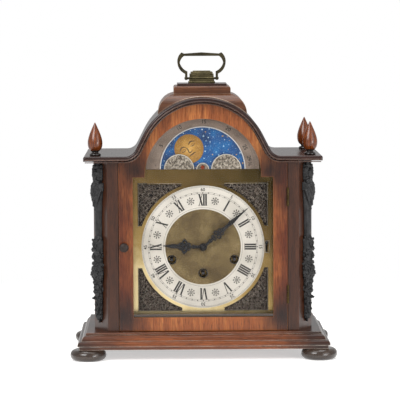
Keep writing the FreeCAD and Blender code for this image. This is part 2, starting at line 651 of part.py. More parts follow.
def make_corner_mounts():
    """Cast herms on the canted corners: head, draped shoulders, tapering shaft and hanging swag."""
    for side, sign in (("left", "-"), ("right", "")):
        wide = "mount_half_width"
        mount = new_body(f"mount_{side}")
        sketch = draw(mount, f"mount_outline_{side}", "XZ_Plane", "0", [[
            ("0", MOUNT_BOTTOM),
            (f"{wide} * 0.34", f"{MOUNT_BOTTOM} + 3"),
            (f"{wide} * 0.5", f"{MOUNT_BOTTOM} + 10"),
            (f"{wide} * 0.68", f"{MOUNT_BOTTOM} + 36"),
            (f"{wide} * 0.74", f"{MOUNT_BOTTOM} + 56"),
            (wide, f"{MOUNT_BOTTOM} + 66"),
            (f"{wide} * 0.84", f"{MOUNT_BOTTOM} + 80"),
            (f"{wide} * 0.84", f"{MOUNT_BOTTOM} + 98"),
            (f"{wide} * 0.96", f"{MOUNT_BOTTOM} + 108"),
            (f"{wide} * 0.62", f"{MOUNT_BOTTOM} + 116"),
            (f"{wide} * 0.68", f"{MOUNT_TOP} - 70"),
            (f"{wide} * 0.8", f"{MOUNT_TOP} - 52"),
            (wide, f"{MOUNT_TOP} - 40"),
            (f"{wide} * 0.94", f"{MOUNT_TOP} - 30"),
            (f"{wide} * 0.66", f"{MOUNT_TOP} - 25"),
            (f"{wide} * 0.84", f"{MOUNT_TOP} - 18"),
            (f"{wide} * 0.84", f"{MOUNT_TOP} - 6"),
            (f"{wide} * 0.5", f"{MOUNT_TOP} - 1"),
            ("0", MOUNT_TOP),
        ]])
        relief = mount.newObject("PartDesign::Revolution", f"mount_turn_{side}")
        relief.Profile = sketch
        relief.ReferenceAxis = (sketch, ["V_Axis"])
        relief.Angle = 180
        mount.Tip = relief
        lean = -math.degrees(math.atan2(value("cant_depth"), value("cant_width")))
        turn = 180 + (lean if sign else -lean)
        mount.Placement.Rotation = FreeCAD.Rotation(FreeCAD.Vector(0, 0, 1), turn)
        place(mount, f"{sign}(case_half_width - cant_width * (0.5 - mount_shift))",
              "-case_front + cant_depth * (0.5 + mount_shift)")
        keep(f"corner_mount_{side}", mount)


# ---------------------------------------------------------------- front door
DOOR_HALF = f"({OPENING_X} - door_gap)"
DOOR_BOTTOM = f"({CASE_BOTTOM} + door_bottom_gap)"
HINGE_X = f"({OPENING_X} - door_gap / 2)"
HINGE_Y = "(-case_front - hinge_knuckle_radius)"
LIGHT_SHOULDER = "door_light_shoulder"


def light_outline(grow):
    """Arched opening of the door: straight sides, small shoulders and a round arch."""
    width = f"door_light_half_width + {grow}"
    radius = f"(door_light_radius + {grow})"
    return over_the_top([
        (width, f"door_light_bottom - ({grow})"),
        (width, f"{LIGHT_SHOULDER} + {grow}"),
        (f"sqrt({radius}^2 - ({grow})^2)", f"{LIGHT_SHOULDER} + {grow}", radius, 1),
        ("0", f"{LIGHT_SHOULDER} + {radius}", radius, 1),
    ])


def make_front_door():
    """Glazed door under the arch: frame with a rebate, glass, beads and a turned knob."""
    top_inset = "roof_thickness + door_top_gap"
    shape = over_the_top([(DOOR_HALF, DOOR_BOTTOM)]
                         + arch_outline(top_inset, DOOR_HALF, "case_shoulder - door_top_gap"))
    frame = front_board("door", "-case_front", "door_thickness", [shape, light_outline("0")])
    doc.recompute()
    rebate = draw(frame, "door_rebate", "XZ_Plane", "case_front - door_thickness", [light_outline("rebate_width")])
    pocket = frame.newObject("PartDesign::Pocket", "door_rebate_pocket")
    pocket.Profile = rebate
    pocket.setExpression("Length", bound("door_thickness - rebate_front"))
    pocket.Reversed = True
    frame.Tip = pocket
    doc.recompute()
    whole = frame.Shape.Volume
    pocket.Reversed = False
    doc.recompute()
    if frame.Shape.Volume > whole:
        pocket.Reversed = True
    keep("door_frame", frame)
    front = "-case_front + rebate_front"
    glass = light_outline("rebate_width - glass_play")
    keep("door_glass", front_board("glass", front, "glass_thickness", [glass]))
    keep("glass_beads", front_board("beads", f"{front} + glass_thickness", "bead_thickness",
                                    [light_outline("rebate_width"), light_outline("rebate_width - bead_step")]))
    knob = turned_back("door_knob_turning", [
        ("0", "0"),
        ("door_knob_radius * 0.45", "0"),
        ("door_knob_radius * 0.45", "-door_knob_length * 0.35"),
        ("door_knob_radius * 0.9", "-door_knob_length * 0.5", "door_knob_radius * 0.8", -1),
        ("door_knob_radius * 0.8", "-door_knob_length * 0.85", "door_knob_radius * 1.4", -1),
        ("0", "-door_knob_length"),
    ])
    place(knob, f"-{DOOR_HALF} + door_knob_inset", "-case_front", "dial_centre + door_knob_rise")
    keep("door_knob", knob)


def hinge_halves(name, x, y, z, inward, gap):
    """Butt hinge at a vertical edge: its two thin leaves lie in the gap, and only the knuckles show.

    inward is "+" where the leaves run back from the pin, and "-" where they run forward.
    """
    knuckle = "(hinge_length / 3)"
    middle_span = (f"({z}) - {knuckle} / 2 + hinge_knuckle_gap / 2", f"({z}) + {knuckle} / 2 - hinge_knuckle_gap / 2")
    low_span = (f"({z}) - hinge_length / 2", f"({z}) - {knuckle} / 2 - hinge_knuckle_gap / 2")
    high_span = (f"({z}) + {knuckle} / 2 + hinge_knuckle_gap / 2", f"({z}) + hinge_length / 2")
    reach = (y, f"({y}) + hinge_leaf_width") if inward == "+" else (f"({y}) - hinge_leaf_width", y)
    fixed_x = (f"({x}) + {gap} / 2 - hinge_leaf", f"({x}) + {gap} / 2")
    moving_x = (f"({x}) - {gap} / 2", f"({x}) - {gap} / 2 + hinge_leaf")
    pin = rod_up(name + "_pin", x, y, f"({z}) - hinge_length / 2", f"({z}) + hinge_length / 2", "hinge_pin_radius")
    bore = rod_up(name + "_bore", x, y, f"({z}) - hinge_length", f"({z}) + hinge_length",
                  "hinge_pin_radius + hinge_play")
    middle = rod_up(name + "_middle", x, y, *middle_span, "hinge_knuckle_radius")
    low = rod_up(name + "_low", x, y, *low_span, "hinge_knuckle_radius")
    high = rod_up(name + "_high", x, y, *high_span, "hinge_knuckle_radius")
    fixed_leaf = box(name + "_fixed_leaf", *fixed_x, *reach, *middle_span)
    low_leaf = box(name + "_low_leaf", *moving_x, *reach, *low_span)
    high_leaf = box(name + "_high_leaf", *moving_x, *reach, *high_span)
    fixed = fuse(name + "_fixed", [pin, middle, fixed_leaf])
    moving = cut(name + "_moving", fuse(name + "_knuckles", [low, high, low_leaf, high_leaf]), bore)
    return fixed, moving


def make_hinges():
    """Two butt hinges on the right of the front door, and two on the right of the back door."""
    fixed = []
    moving = []
    for end, z in (("low", f"{DOOR_BOTTOM} + hinge_inset"), ("high", "case_shoulder - hinge_inset")):
        halves = hinge_halves(f"door_hinge_{end}", HINGE_X, HINGE_Y, z, "+", "door_gap")
        fixed.append(halves[0])
        moving.append(halves[1])
    keep("door_hinge_leaves", group("door_leaves", moving))
    moving = []
    for end, z in (("low", "back_opening_bottom + hinge_inset"), ("high", "back_opening_top - hinge_inset")):
        halves = hinge_halves(f"back_hinge_{end}", "back_opening_half_width - back_door_gap / 2",
                              "case_back + hinge_knuckle_radius", z, "-", "back_door_gap")
        fixed.append(halves[0])
        moving.append(halves[1])
    keep("back_door_leaves", group("back_leaves", moving))
    keep("case_hinge_pins", group("case_leaves", fixed))


# ---------------------------------------------------------------- dial
def make_dial():
    """Mask board, brass dial plate with its moon opening, chapter ring, spandrels and hemispheres."""
    mask = over_the_top([(STILE_X, FLOOR_TOP)]
                        + arch_outline("roof_thickness + mask_gap", STILE_X, "case_shoulder - mask_gap"))
    keep("dial_mask", front_board("mask", DIAL_BACK, "mask_thickness",
                                  [mask, light_outline("dial_lap - mask_seat")]))
    moon_opening = [
        ("-moon_light_radius", "moon_centre"),
        ("-hump_radius", "moon_centre", "hump_radius", -1),
        ("0", "moon_centre + hump_radius", "hump_radius", -1),
        ("hump_radius", "moon_centre"),
        ("moon_light_radius", "moon_centre", "moon_light_radius", 1),
        ("0", "moon_centre + moon_light_radius", "moon_light_radius", 1),
    ]
    slot = rectangle("lever_x - lever_slot_half_width", "lever_x + lever_slot_half_width", "lever_slot_bottom",
                     "lever_slot_top")
    holes = [("circle", "0", "dial_centre", "pipe_radius + 1"), ("circle", "0", "moon_centre", "moon_stud_radius")]
    for x, z in winding_places().values():
        holes.append(("circle", x, z, "winding_hole_radius"))
    plate = front_board("dial", "-dial_front", "dial_plate_thickness",
                        [light_outline("dial_lap"), moon_opening, slot] + holes)
    keep("dial_plate", plate)
    front = "-dial_front - ring_thickness"
    keep("chapter_ring", front_board("ring", front, "ring_thickness", [
        ("circle", "0", "dial_centre", "ring_outer"),
        ("circle", "0", "dial_centre", "ring_inner"),
    ]))
    edge = "sqrt(spandrel_radius^2 - (spandrel_half_width - spandrel_reach)^2)"
    corners = []
    for name, x, z in (("upper_right", "", ""), ("upper_left", "-", ""), ("lower_right", "", "-"),
                       ("lower_left", "-", "-")):
        turn = -1 if x == z else 1
        corners.append(front_board(f"spandrel_{name}", "-dial_front - spandrel_thickness", "spandrel_thickness", [[
            (f"{x}(spandrel_half_width)", f"dial_centre + {z}1 * spandrel_rise"),
            (f"{x}(spandrel_half_width - spandrel_reach)", f"dial_centre + {z}1 * spandrel_rise"),
            (f"{x}(spandrel_half_width - spandrel_reach)", f"dial_centre + {z}1 * {edge}", "spandrel_radius", turn),
            (f"{x}({edge})", f"dial_centre + {z}1 * (spandrel_half_width - spandrel_reach)"),
            (f"{x}(spandrel_half_width)", f"dial_centre + {z}1 * (spandrel_half_width - spandrel_reach)"),
        ]]))
    keep("spandrels", group("corner_spandrels", corners))
    halves = []
    for side, sign in (("left", "-"), ("right", "")):
        centre = f"{sign}(hemisphere_x)"
        foot = "moon_centre - hemisphere_tab"
        halves.append(front_board(f"hemisphere_{side}", "-dial_front - hemisphere_thickness",
                                  "hemisphere_thickness", [[
            (f"{centre} - hemisphere_radius", foot),
            (f"{centre} + hemisphere_radius", foot),
            (f"{centre} + hemisphere_radius", "moon_centre", "hemisphere_radius", 1),
            (centre, "moon_centre + hemisphere_radius", "hemisphere_radius", 1),
            (f"{centre} - hemisphere_radius", "moon_centre"),
        ]]))
    keep("hemispheres", group("hemisphere_plates", halves))


def winding_places():
    """Centres of the three winding squares."""
    return {
        "strike": ("-winding_x", "dial_centre - winding_drop"),
        "time": ("0", "dial_centre - time_winding_drop"),
        "chime": ("winding_x", "dial_centre - winding_drop"),
    }


def make_moon():
    """Moon disc, turning on a stud behind the dial plate."""
    front = f"{DIAL_BACK} + moon_disc_gap"
    disc = front_board("moon", front, "moon_disc_thickness", [
        ("circle", "0", "moon_centre", "moon_disc_radius"),
        ("circle", "0", "moon_centre", "moon_stud_radius + shaft_play"),
    ])
    keep("moon_disc", disc)
    stud = turned_back("moon_stud_turning", [
        ("0", "-dial_front - hemisphere_thickness"),
        ("hump_radius - 1", "-dial_front - hemisphere_thickness"),
        ("hump_radius - 1", "-dial_front"),
        ("moon_stud_radius", "-dial_front"),
        ("moon_stud_radius", f"{front} + moon_disc_thickness + moon_washer_play"),
        ("moon_stud_radius * 2", f"{front} + moon_disc_thickness + moon_washer_play"),
        ("moon_stud_radius * 2", f"{front} + moon_disc_thickness + moon_washer_play + moon_washer"),
        ("0", f"{front} + moon_disc_thickness + moon_washer_play + moon_washer"),
    ])
    place(stud, "0", "0", "moon_centre")
    keep("moon_stud", stud)


def make_lever():
    """Silencing lever: a stem through the dial slot, with a knob in front and a foot behind."""
    lever = turned_back("lever_turning", [
        ("0", "-dial_front - lever_knob_gap - lever_knob_length"),
        ("lever_knob_radius", "-dial_front - lever_knob_gap - lever_knob_length"),
        ("lever_knob_radius", "-dial_front - lever_knob_gap"),
        ("lever_stem_radius", "-dial_front - lever_knob_gap"),
        ("lever_stem_radius", f"{DIAL_BACK} + lever_foot_gap"),
        ("lever_knob_radius", f"{DIAL_BACK} + lever_foot_gap"),
        ("lever_knob_radius", f"{DIAL_BACK} + lever_foot_gap + lever_foot"),
        ("0", f"{DIAL_BACK} + lever_foot_gap + lever_foot"),
    ])
    place(lever, "lever_x", "0", "lever_slot_top - lever_stem_radius - lever_end_gap")
    keep("chime_lever", lever)


# ---------------------------------------------------------------- hands and motion work
HOUR_HAND = "(-dial_front - ring_thickness - hour_hand_lift)"
MINUTE_HAND = "(-dial_front - ring_thickness - minute_hand_lift)"
HOUR_WHEEL = "(-dial_front + hour_wheel_depth)"
MINUTE_WHEEL = "(-dial_front + minute_wheel_depth)"
TRAIN_DISTANCE = "(gear_module * (cannon_teeth + minute_teeth) / 2)"


def gear_outline(teeth, phase, centre_x, centre_z):
    """Spur wheel outline: straight-sided teeth, thinned by the backlash."""
    pitch = value(f"gear_module * {teeth} / 2")
    addendum = value("gear_module * gear_addendum")
    dedendum = value("gear_module * gear_dedendum")
    count = int(value(teeth))
    thin = value("gear_backlash") / 2 / pitch
    loop = []
    for tooth in range(count):
        middle = phase + 2 * math.pi * tooth / count
        for radius, share in ((pitch - dedendum, -0.34), (pitch + addendum, -0.12),
                              (pitch + addendum, 0.12), (pitch - dedendum, 0.34)):
            spread = share * 2 * math.pi / count
            angle = middle + spread - math.copysign(thin, share)
            loop.append(FreeCAD.Vector(centre_x + radius * math.cos(angle), 0, centre_z + radius * math.sin(angle)))
    return Part.makePolygon(loop + [loop[0]])


def gear(name, teeth, bore, front, thickness, phase=0.0, x=0.0, z=0.0):
    """Wheel or pinion on an axis that runs to the back. Its outline is worked out from the tooth count."""
    outline = Part.Face(gear_outline(teeth, phase, x, z))
    blank = outline.extrude(FreeCAD.Vector(0, value(thickness), 0))
    hole = Part.makeCylinder(value(bore), value(thickness) + 2, FreeCAD.Vector(x, -1, z), FreeCAD.Vector(0, 1, 0))
    wheel = doc.addObject("Part::Feature", name)
    wheel.Shape = blank.cut(hole)
    place(wheel, "0", front, "dial_centre")
    return wheel


def hand_outline(length, share, width):
    """Pierced serpentine hand, pointing up from the dial centre: boss, open lozenge, neck and tip."""
    lozenge = f"({length} * {share})"
    return over_the_top([
        (f"{width} * 0.16", "dial_centre - hand_boss_radius"),
        ("hand_boss_radius * 0.8", "dial_centre - hand_boss_radius * 0.6", "hand_boss_radius", 1),
        ("hand_boss_radius * 0.8", "dial_centre + hand_boss_radius * 0.6"),
        (f"{width} * 0.3", f"dial_centre + {lozenge} * 0.45"),
        (f"{width}", f"dial_centre + {lozenge}", length, 1),
        (f"{width} * 0.22", f"dial_centre + {lozenge} * 1.6"),
        (f"{width} * 0.42", f"dial_centre + {lozenge} * 1.75"),
        (f"{width} * 0.16", f"dial_centre + {lozenge} * 1.9"),
        ("0", f"dial_centre + {length}"),
    ])


def pierced(length, share, width):
    """Open lozenge in a hand."""
    lozenge = f"({length} * {share})"
    return [
        ("0", f"dial_centre + {lozenge} * 0.62"),
        (f"{width} * 0.6", f"dial_centre + {lozenge}"),
        ("0", f"dial_centre + {lozenge} * 1.35"),
        (f"-{width} * 0.6", f"dial_centre + {lozenge}"),
    ]


def make_hand(node, front, length, share, width, bore, clock_turn):
    """A hand drawn at twelve and turned to the time shown."""
    hand = front_board(f"{node}_blank", front, "hand_thickness", [
        hand_outline(length, share, width),
        pierced(length, share, width),
        ("circle", "0", "dial_centre", bore),
    ])
    turn = FreeCAD.Rotation(FreeCAD.Vector(0, 1, 0), value(clock_turn))
    axis = FreeCAD.Vector(0, 0, value("dial_centre"))
    hand.Placement = FreeCAD.Placement(axis - turn.multVec(axis), turn)
    keep(node, hand)


def make_motion_work():
    """Hands, centre arbor with its cannon pinion, minute wheel with pinion, and hour wheel on its pipe."""
    make_hand("hour_hand", HOUR_HAND, "hour_hand_length", "hour_lozenge", "hour_hand_width",
              "pipe_radius", "hour_hand_turn")
    make_hand("minute_hand", MINUTE_HAND, "minute_hand_length", "minute_lozenge", "minute_hand_width",
              "arbor_radius", "minute_hand_turn")
    nut = turned_back("nut_turning", [
        ("arbor_radius", f"{MINUTE_HAND}"),
        ("arbor_radius", f"{MINUTE_HAND} - nut_thickness"),
        ("nut_radius * 0.6", f"{MINUTE_HAND} - nut_thickness"),
        ("nut_radius", f"{MINUTE_HAND} - nut_thickness * 0.4"),
        ("nut_radius", f"{MINUTE_HAND}"),
    ])
    place(nut, "0", "0", "dial_centre")
    keep("hand_nut", nut)
    arbor = rod_back("arbor", "0", "dial_centre", "arbor_radius", f"{MINUTE_HAND} - nut_thickness",
                     "-movement_front + movement_depth + plate_thickness")
    cannon = gear("cannon_pinion", "cannon_teeth", "arbor_radius", MINUTE_WHEEL, "gear_thickness")
    keep("centre_arbor", fuse("centre_arbor_whole", [arbor, cannon]))
    pipe = cut("pipe", rod_back("pipe_rod", "0", "dial_centre", "pipe_radius", f"{HOUR_HAND} - pipe_end", HOUR_WHEEL),
               rod_back("pipe_bore", "0", "dial_centre", "arbor_radius + shaft_play", f"{HOUR_HAND} - 2 * pipe_end",
                        f"{HOUR_WHEEL} + 2 * gear_thickness"))
    wheel = gear("hour_gear", "hour_teeth", "arbor_radius + shaft_play", HOUR_WHEEL, "gear_thickness")
    keep("hour_wheel", fuse("hour_wheel_whole", [pipe, wheel]))
    angle = math.radians(value("train_angle"))
    x = value(TRAIN_DISTANCE) * math.cos(angle)
    z = value(TRAIN_DISTANCE) * math.sin(angle)
    stud_bore = "pillar_radius / 2 + shaft_play"
    mesh = angle + math.pi
    pitch_angle = 2 * math.pi / value("minute_teeth")
    large = gear("minute_gear", "minute_teeth", stud_bore, MINUTE_WHEEL, "gear_thickness",
                 mesh + pitch_angle * 0.5 + tooth_phase(angle, "cannon_teeth", "minute_teeth"), x, z)
    small_angle = 2 * math.pi / value("minute_pinion_teeth")
    small = gear("minute_pinion", "minute_pinion_teeth", stud_bore, HOUR_WHEEL,
                 "minute_wheel_depth - hour_wheel_depth",
                 mesh + small_angle * 0.5 + tooth_phase(angle, "hour_teeth", "minute_pinion_teeth"), x, z)
    keep("minute_wheel", fuse("minute_wheel_whole", [large, small]))


def tooth_phase(angle, driver, driven):
    """Turn of the driven wheel that puts its gap where the driver has a tooth, along the line of centres."""
    pitch = 2 * math.pi / value(driver)
    lead = angle - pitch * round(angle / pitch)
    return lead * value(driver) / value(driven)


# ---------------------------------------------------------------- movement
MOVEMENT_BACK = "(-movement_front + movement_depth)"


def make_movement():
    """Two brass plates on pillars, standing on a seat board, with posts that carry the dial."""
    seat = [
        (STILE_X, MASK_BACK),
        (STILE_X, CANT_BACK),
        (PANEL_X, CANT_BACK),
        (PANEL_X, f"{MOVEMENT_BACK} + plate_thickness"),
    ]
    keep("seat_board", level_board("seat", "seat_height - seat_thickness", "seat_thickness", [mirrored(seat)]))
    outline = rectangle("-plate_half_width", "plate_half_width", "seat_height", "plate_top")
    centre_hole = ("circle", "0", "dial_centre", "arbor_radius + shaft_play")
    holes = [("circle", x, z, "winding_arbor_radius + shaft_play") for x, z in winding_places().values()]
    front = front_board("front_plate", "-movement_front", "plate_thickness", [outline, centre_hole] + holes)
    angle = "train_angle"
    stud = rod_back("minute_stud", f"{TRAIN_DISTANCE} * cos({angle})",
                    f"dial_centre + {TRAIN_DISTANCE} * sin({angle})", "pillar_radius / 2",
                    f"{HOUR_WHEEL} - stud_end", "-movement_front")
    keep("front_movement_plate", fuse("front_plate_whole", [front, stud]))
    balance_hole = ("circle", "balance_x", "balance_z", "balance_staff_radius + shaft_play")
    back = front_board("back_plate", MOVEMENT_BACK, "plate_thickness", [outline, centre_hole, balance_hole] + holes)
    axle = rod_back("hammer_axle", "-hammer_axle_x", "seat_height + hammer_axle_rise", "hammer_axle_radius",
                    f"{MOVEMENT_BACK} + plate_thickness", "chime_y + rod_pitch * 1.5 + hammer_hub_length")
    keep("back_movement_plate", fuse("back_plate_whole", [back, axle]))
    pillars = []
    posts = []
    for column, sign in (("left", "-"), ("right", "")):
        for level, height in (("low", "seat_height + pillar_inset"), ("high", "plate_top - pillar_inset")):
            pillars.append(rod_back(f"pillar_{level}_{column}", f"{sign}(plate_half_width - pillar_inset)", height,
                                    "pillar_radius", "-movement_front + plate_thickness", MOVEMENT_BACK))
        for level, height in (("low", "dial_centre - dial_post_z"), ("high", "dial_centre + dial_post_z")):
            posts.append(rod_back(f"post_{level}_{column}", f"{sign}(dial_post_x)", height, "post_radius",
                                  DIAL_BACK, "-movement_front"))
    keep("movement_pillars", group("pillars", pillars))
    keep("dial_posts", group("posts", posts))


def make_barrels():
    """Three spring barrels and their winding arbors, each arbor with a square end behind its dial hole."""
    barrel_front = "(-movement_front + plate_thickness + barrel_gap)"
    for train, (x, z) in winding_places().items():
        barrel = turned_back(f"{train}_drum", [
            ("winding_arbor_radius + shaft_play", barrel_front),
            ("barrel_radius", barrel_front),
            ("barrel_radius", f"{barrel_front} + barrel_depth - barrel_rim_width"),
            ("barrel_radius + barrel_rim", f"{barrel_front} + barrel_depth - barrel_rim_width"),
            ("barrel_radius + barrel_rim", f"{barrel_front} + barrel_depth"),
            ("winding_arbor_radius + shaft_play", f"{barrel_front} + barrel_depth"),
        ])
        place(barrel, x, "0", z)
        keep(f"{train}_barrel", barrel)
        square_end = "-dial_front + winding_end"
        round_start = f"({square_end} + winding_square_length)"
        round_part = rod_back(f"{train}_arbor_round", x, z, "winding_arbor_radius", round_start,
                              f"{MOVEMENT_BACK} + plate_thickness")
        square = box(f"{train}_arbor_square", f"{x} - winding_square / 2", f"{x} + winding_square / 2",
                     square_end, round_start, f"{z} - winding_square / 2", f"{z} + winding_square / 2")
        keep(f"{train}_winding_arbor", fuse(f"{train}_arbor", [round_part, square]))


def make_balance():
    """Balance wheel of the escapement, on a staff that runs in the back plate."""
    rim_front = f"{MOVEMENT_BACK} + plate_thickness + balance_lift"
    web_front = rim_front + " + balance_web_inset"
    rim_back = rim_front + " + balance_rim"
    web_back = rim_back + " - balance_web_inset"
    wheel = turned_back("balance_turning", [
        ("0", MOVEMENT_BACK),
        ("balance_staff_radius", MOVEMENT_BACK),
        ("balance_staff_radius", web_front),
        ("balance_radius - balance_rim", web_front),
        ("balance_radius - balance_rim", rim_front),
        ("balance_radius", rim_front),
        ("balance_radius", rim_back),
        ("balance_radius - balance_rim", rim_back),
        ("balance_radius - balance_rim", web_back),
        ("balance_staff_radius * 2", web_back),
        ("balance_staff_radius * 2", rim_back + " + balance_staff_end"),
        ("0", rim_back + " + balance_staff_end"),
    ])
    place(wheel, "balance_x", "0", "balance_z")
    keep("balance_wheel", wheel)


# ---------------------------------------------------------------- chime
def make_chime():
    """Cast block on the case floor with four rods, and four hammers on one axle behind the movement."""
    block = box("block", "-block_x - block_width", "-block_x", "chime_y - block_half_length",
                "chime_y + block_half_length", FLOOR_TOP, f"{FLOOR_TOP} + block_height")
    rods = [block]
    rod_z = f"({FLOOR_TOP} + rod_rise)"
    axle_z = "(seat_height + hammer_axle_rise)"
    for number in range(4):
        y = f"chime_y + rod_pitch * {number - 1.5}"
        rods.append(rod_right(f"rod_{number + 1}", "-block_x", f"-block_x + rod_length - {number} * rod_shortening",
                              y, rod_z, "rod_radius"))
        front = f"({y} - hammer_hub_length / 2)"
        back = f"({y} + hammer_hub_length / 2)"
        head_bottom = f"({rod_z} + rod_radius + hammer_rest_gap)"
        head_top = f"{head_bottom} + hammer_head_height"
        hub = rod_back(f"hub_{number + 1}", "-hammer_axle_x", axle_z, "hammer_hub_radius", front, back)
        head = rod_up(f"head_{number + 1}", "-hammer_head_x", y, head_bottom, head_top,
                      "hammer_head_radius")
        arm = pad(f"arm_{number + 1}", "XZ_Plane", f"-({y}) - hammer_arm / 2", "hammer_arm", [[
            ("-hammer_axle_x", f"{axle_z} - hammer_hub_radius + hammer_arm_inset"),
            ("-hammer_axle_x", f"{axle_z} + hammer_hub_radius - hammer_arm_inset"),
            ("-hammer_head_x", f"{head_top} - hammer_arm_inset * 2"),
            ("-hammer_head_x", f"{head_top} - hammer_arm_inset * 2 - hammer_arm_end"),
        ]])
        bore = rod_back(f"hub_bore_{number + 1}", "-hammer_axle_x", axle_z, "hammer_axle_radius + shaft_play",
                        f"{front} - hammer_arm", f"{back} + hammer_arm")
        hammer = cut(f"hammer_{number + 1}_whole", fuse(f"hammer_{number + 1}_solid", [hub, head, arm]), bore)
        keep(f"chime_hammer_{number + 1}", hammer)
    keep("chime_rods", group("rods", rods))


# ---------------------------------------------------------------- build, test and write
make_feet()
make_base()
make_case_walls()
make_back()
make_roof()
make_caddy()
make_handle()
make_finials()
make_corner_mounts()
make_front_door()
make_hinges()
make_dial()
make_moon()
make_lever()
make_motion_work()
make_movement()
make_barrels()
make_balance()
make_chime()

doc.recompute()
failed = [thing.Label for thing in doc.Objects if "Invalid" in thing.State or "Error" in thing.State]
empty = [node for node, solid in parts.items() if solid.Shape.isNull() or not solid.Shape.isValid()]
if failed or empty:
    raise SystemExit(f"failed: {failed}; not sound: {empty}")

os.makedirs("parts", exist_ok=True)
for node, solid in parts.items():
    solid.Shape.exportStep(f"parts/{node}.step")
    print(node, len(solid.Shape.Solids), round(solid.Shape.Volume, 1))
print(len(parts), "nodes")
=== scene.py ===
import math
import random

import bmesh
import bpy
from mathutils import Matrix, Vector


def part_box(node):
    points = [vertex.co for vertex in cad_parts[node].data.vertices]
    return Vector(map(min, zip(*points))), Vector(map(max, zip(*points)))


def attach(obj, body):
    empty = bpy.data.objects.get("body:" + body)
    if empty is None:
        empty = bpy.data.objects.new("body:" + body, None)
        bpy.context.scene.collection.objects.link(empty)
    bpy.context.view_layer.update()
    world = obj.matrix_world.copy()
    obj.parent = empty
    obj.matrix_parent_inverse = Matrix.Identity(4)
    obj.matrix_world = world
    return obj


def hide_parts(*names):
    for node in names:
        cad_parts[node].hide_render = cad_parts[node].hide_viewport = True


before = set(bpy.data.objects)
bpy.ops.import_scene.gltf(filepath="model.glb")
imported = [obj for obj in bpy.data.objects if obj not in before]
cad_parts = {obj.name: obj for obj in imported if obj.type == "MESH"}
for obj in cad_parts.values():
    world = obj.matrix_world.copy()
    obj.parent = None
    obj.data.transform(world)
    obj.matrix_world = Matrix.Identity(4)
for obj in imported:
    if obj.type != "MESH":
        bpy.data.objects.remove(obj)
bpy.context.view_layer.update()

MM = 0.001
scene = bpy.context.scene

# ---- Stage: pale floor and backdrop in one sweep, soft studio light, camera a little left of centre.
# The camera stands 2.9 m away and a little above the handle, as a long lens takes a product picture.
LENS_MM = 192.5
CAMERA_PLACE = (-0.0447, -2.863, 0.455)
CAMERA_TURN = (84.97, 0.28, -0.86)


def linear(code):
    """Linear colour of an sRGB hex code."""
    channels = [int(code[index:index + 2], 16) / 255 for index in (1, 3, 5)]
    return tuple(c / 12.92 if c <= 0.04045 else ((c + 0.055) / 1.055) ** 2.4 for c in channels) + (1.0,)


def add_node(material, kind, settings=None, inputs=None):
    """Add a shader node; an input is a plain value, an output, or a node, whose first live output is meant."""
    tree = material.node_tree
    new = tree.nodes.new("ShaderNode" + kind)
    for name, setting in (settings or {}).items():
        setattr(new, name, setting)
    for name, given in (inputs or {}).items():
        if isinstance(given, bpy.types.Node):
            given = next(socket for socket in given.outputs if socket.enabled)
        if isinstance(given, bpy.types.NodeSocket):
            tree.links.new(given, new.inputs[name])
        else:
            new.inputs[name].default_value = given
    return new


def new_material(name):
    """Empty node material."""
    material = bpy.data.materials.new(name)
    material.use_nodes = True
    material.node_tree.nodes.clear()
    return material


def surfaced(material, shader):
    """The material, with its shader on the surface."""
    add_node(material, "OutputMaterial", inputs={"Surface": shader})
    return material


def seamless_paper():
    """Matt white paper that keeps the object's shadow near it and burns out to plain white further off."""
    material = new_material("white_paper")
    path = add_node(material, "LightPath")
    place = add_node(material, "TexCoord")
    away = add_node(material, "VectorMath", {"operation": "LENGTH"}, {0: place.outputs["Object"]})
    away = add_node(material, "MapRange", inputs={"Value": away, "From Min": 0.3, "From Max": 0.8})
    paper = add_node(material, "BsdfDiffuse", inputs={"Color": linear("#f4f3f1")})
    glow = add_node(material, "Emission", inputs={"Color": (1, 1, 1, 1), "Strength": 0.5})
    near = add_node(material, "AddShader", inputs={0: paper, 1: glow})
    white = add_node(material, "Emission", inputs={"Color": (1, 1, 1, 1), "Strength": 1.0})
    sheet = add_node(material, "MixShader", inputs={0: away, 1: near, 2: white})
    seen = path.outputs["Is Camera Ray"]
    for kind in ("Is Glossy Ray", "Is Transmission Ray"):
        seen = add_node(material, "Math", {"operation": "MAXIMUM"}, {0: seen, 1: path.outputs[kind]})
    mix = add_node(material, "MixShader", inputs={0: seen, 1: paper, 2: sheet})
    return surfaced(material, mix)


bpy.ops.object.select_all(action="DESELECT")
bpy.ops.mesh.primitive_plane_add(size=1, location=(0, 0, 0))
floor = bpy.context.object
floor.name = "paper_floor"
bpy.ops.object.mode_set(mode="EDIT")
bpy.ops.transform.resize(value=(12, 12, 1))
bpy.ops.object.mode_set(mode="OBJECT")
floor.data.materials.append(seamless_paper())

world = bpy.data.worlds.new("studio")
scene.world = world
world.use_nodes = True
world.node_tree.nodes.clear()
sky_fill = add_node(world, "Background", inputs={"Color": (1, 1, 1, 1), "Strength": 0.55})
sky_white = add_node(world, "Background", inputs={"Color": (1, 1, 1, 1), "Strength": 1.0})
sky_seen = add_node(world, "LightPath").outputs["Is Camera Ray"]
sky = add_node(world, "MixShader", inputs={0: sky_seen, 1: sky_fill, 2: sky_white})
add_node(world, "OutputWorld", inputs={"Surface": sky})

# Each lamp has its place and size in metres and its power in watts.
for lamp_name, place, size, power in (
        ("key_softbox", (-1.1, -1.5, 1.5), 1.2, 32),
        ("fill_softbox", (1.5, -1.4, 0.9), 1.4, 11),
        ("low_softbox", (1.15, -1.5, 0.12), 0.7, 10),
        ("top_softbox", (0.0, 0.2, 1.9), 1.4, 16)):
    lamp = bpy.data.lights.new(lamp_name, "AREA")
    lamp.size = size
    lamp.energy = power
    holder = bpy.data.objects.new(lamp_name, lamp)
    holder.location = place
    holder.rotation_euler = (Vector((0, 0, 0.2)) - Vector(place)).to_track_quat("-Z", "Y").to_euler()
    scene.collection.objects.link(holder)

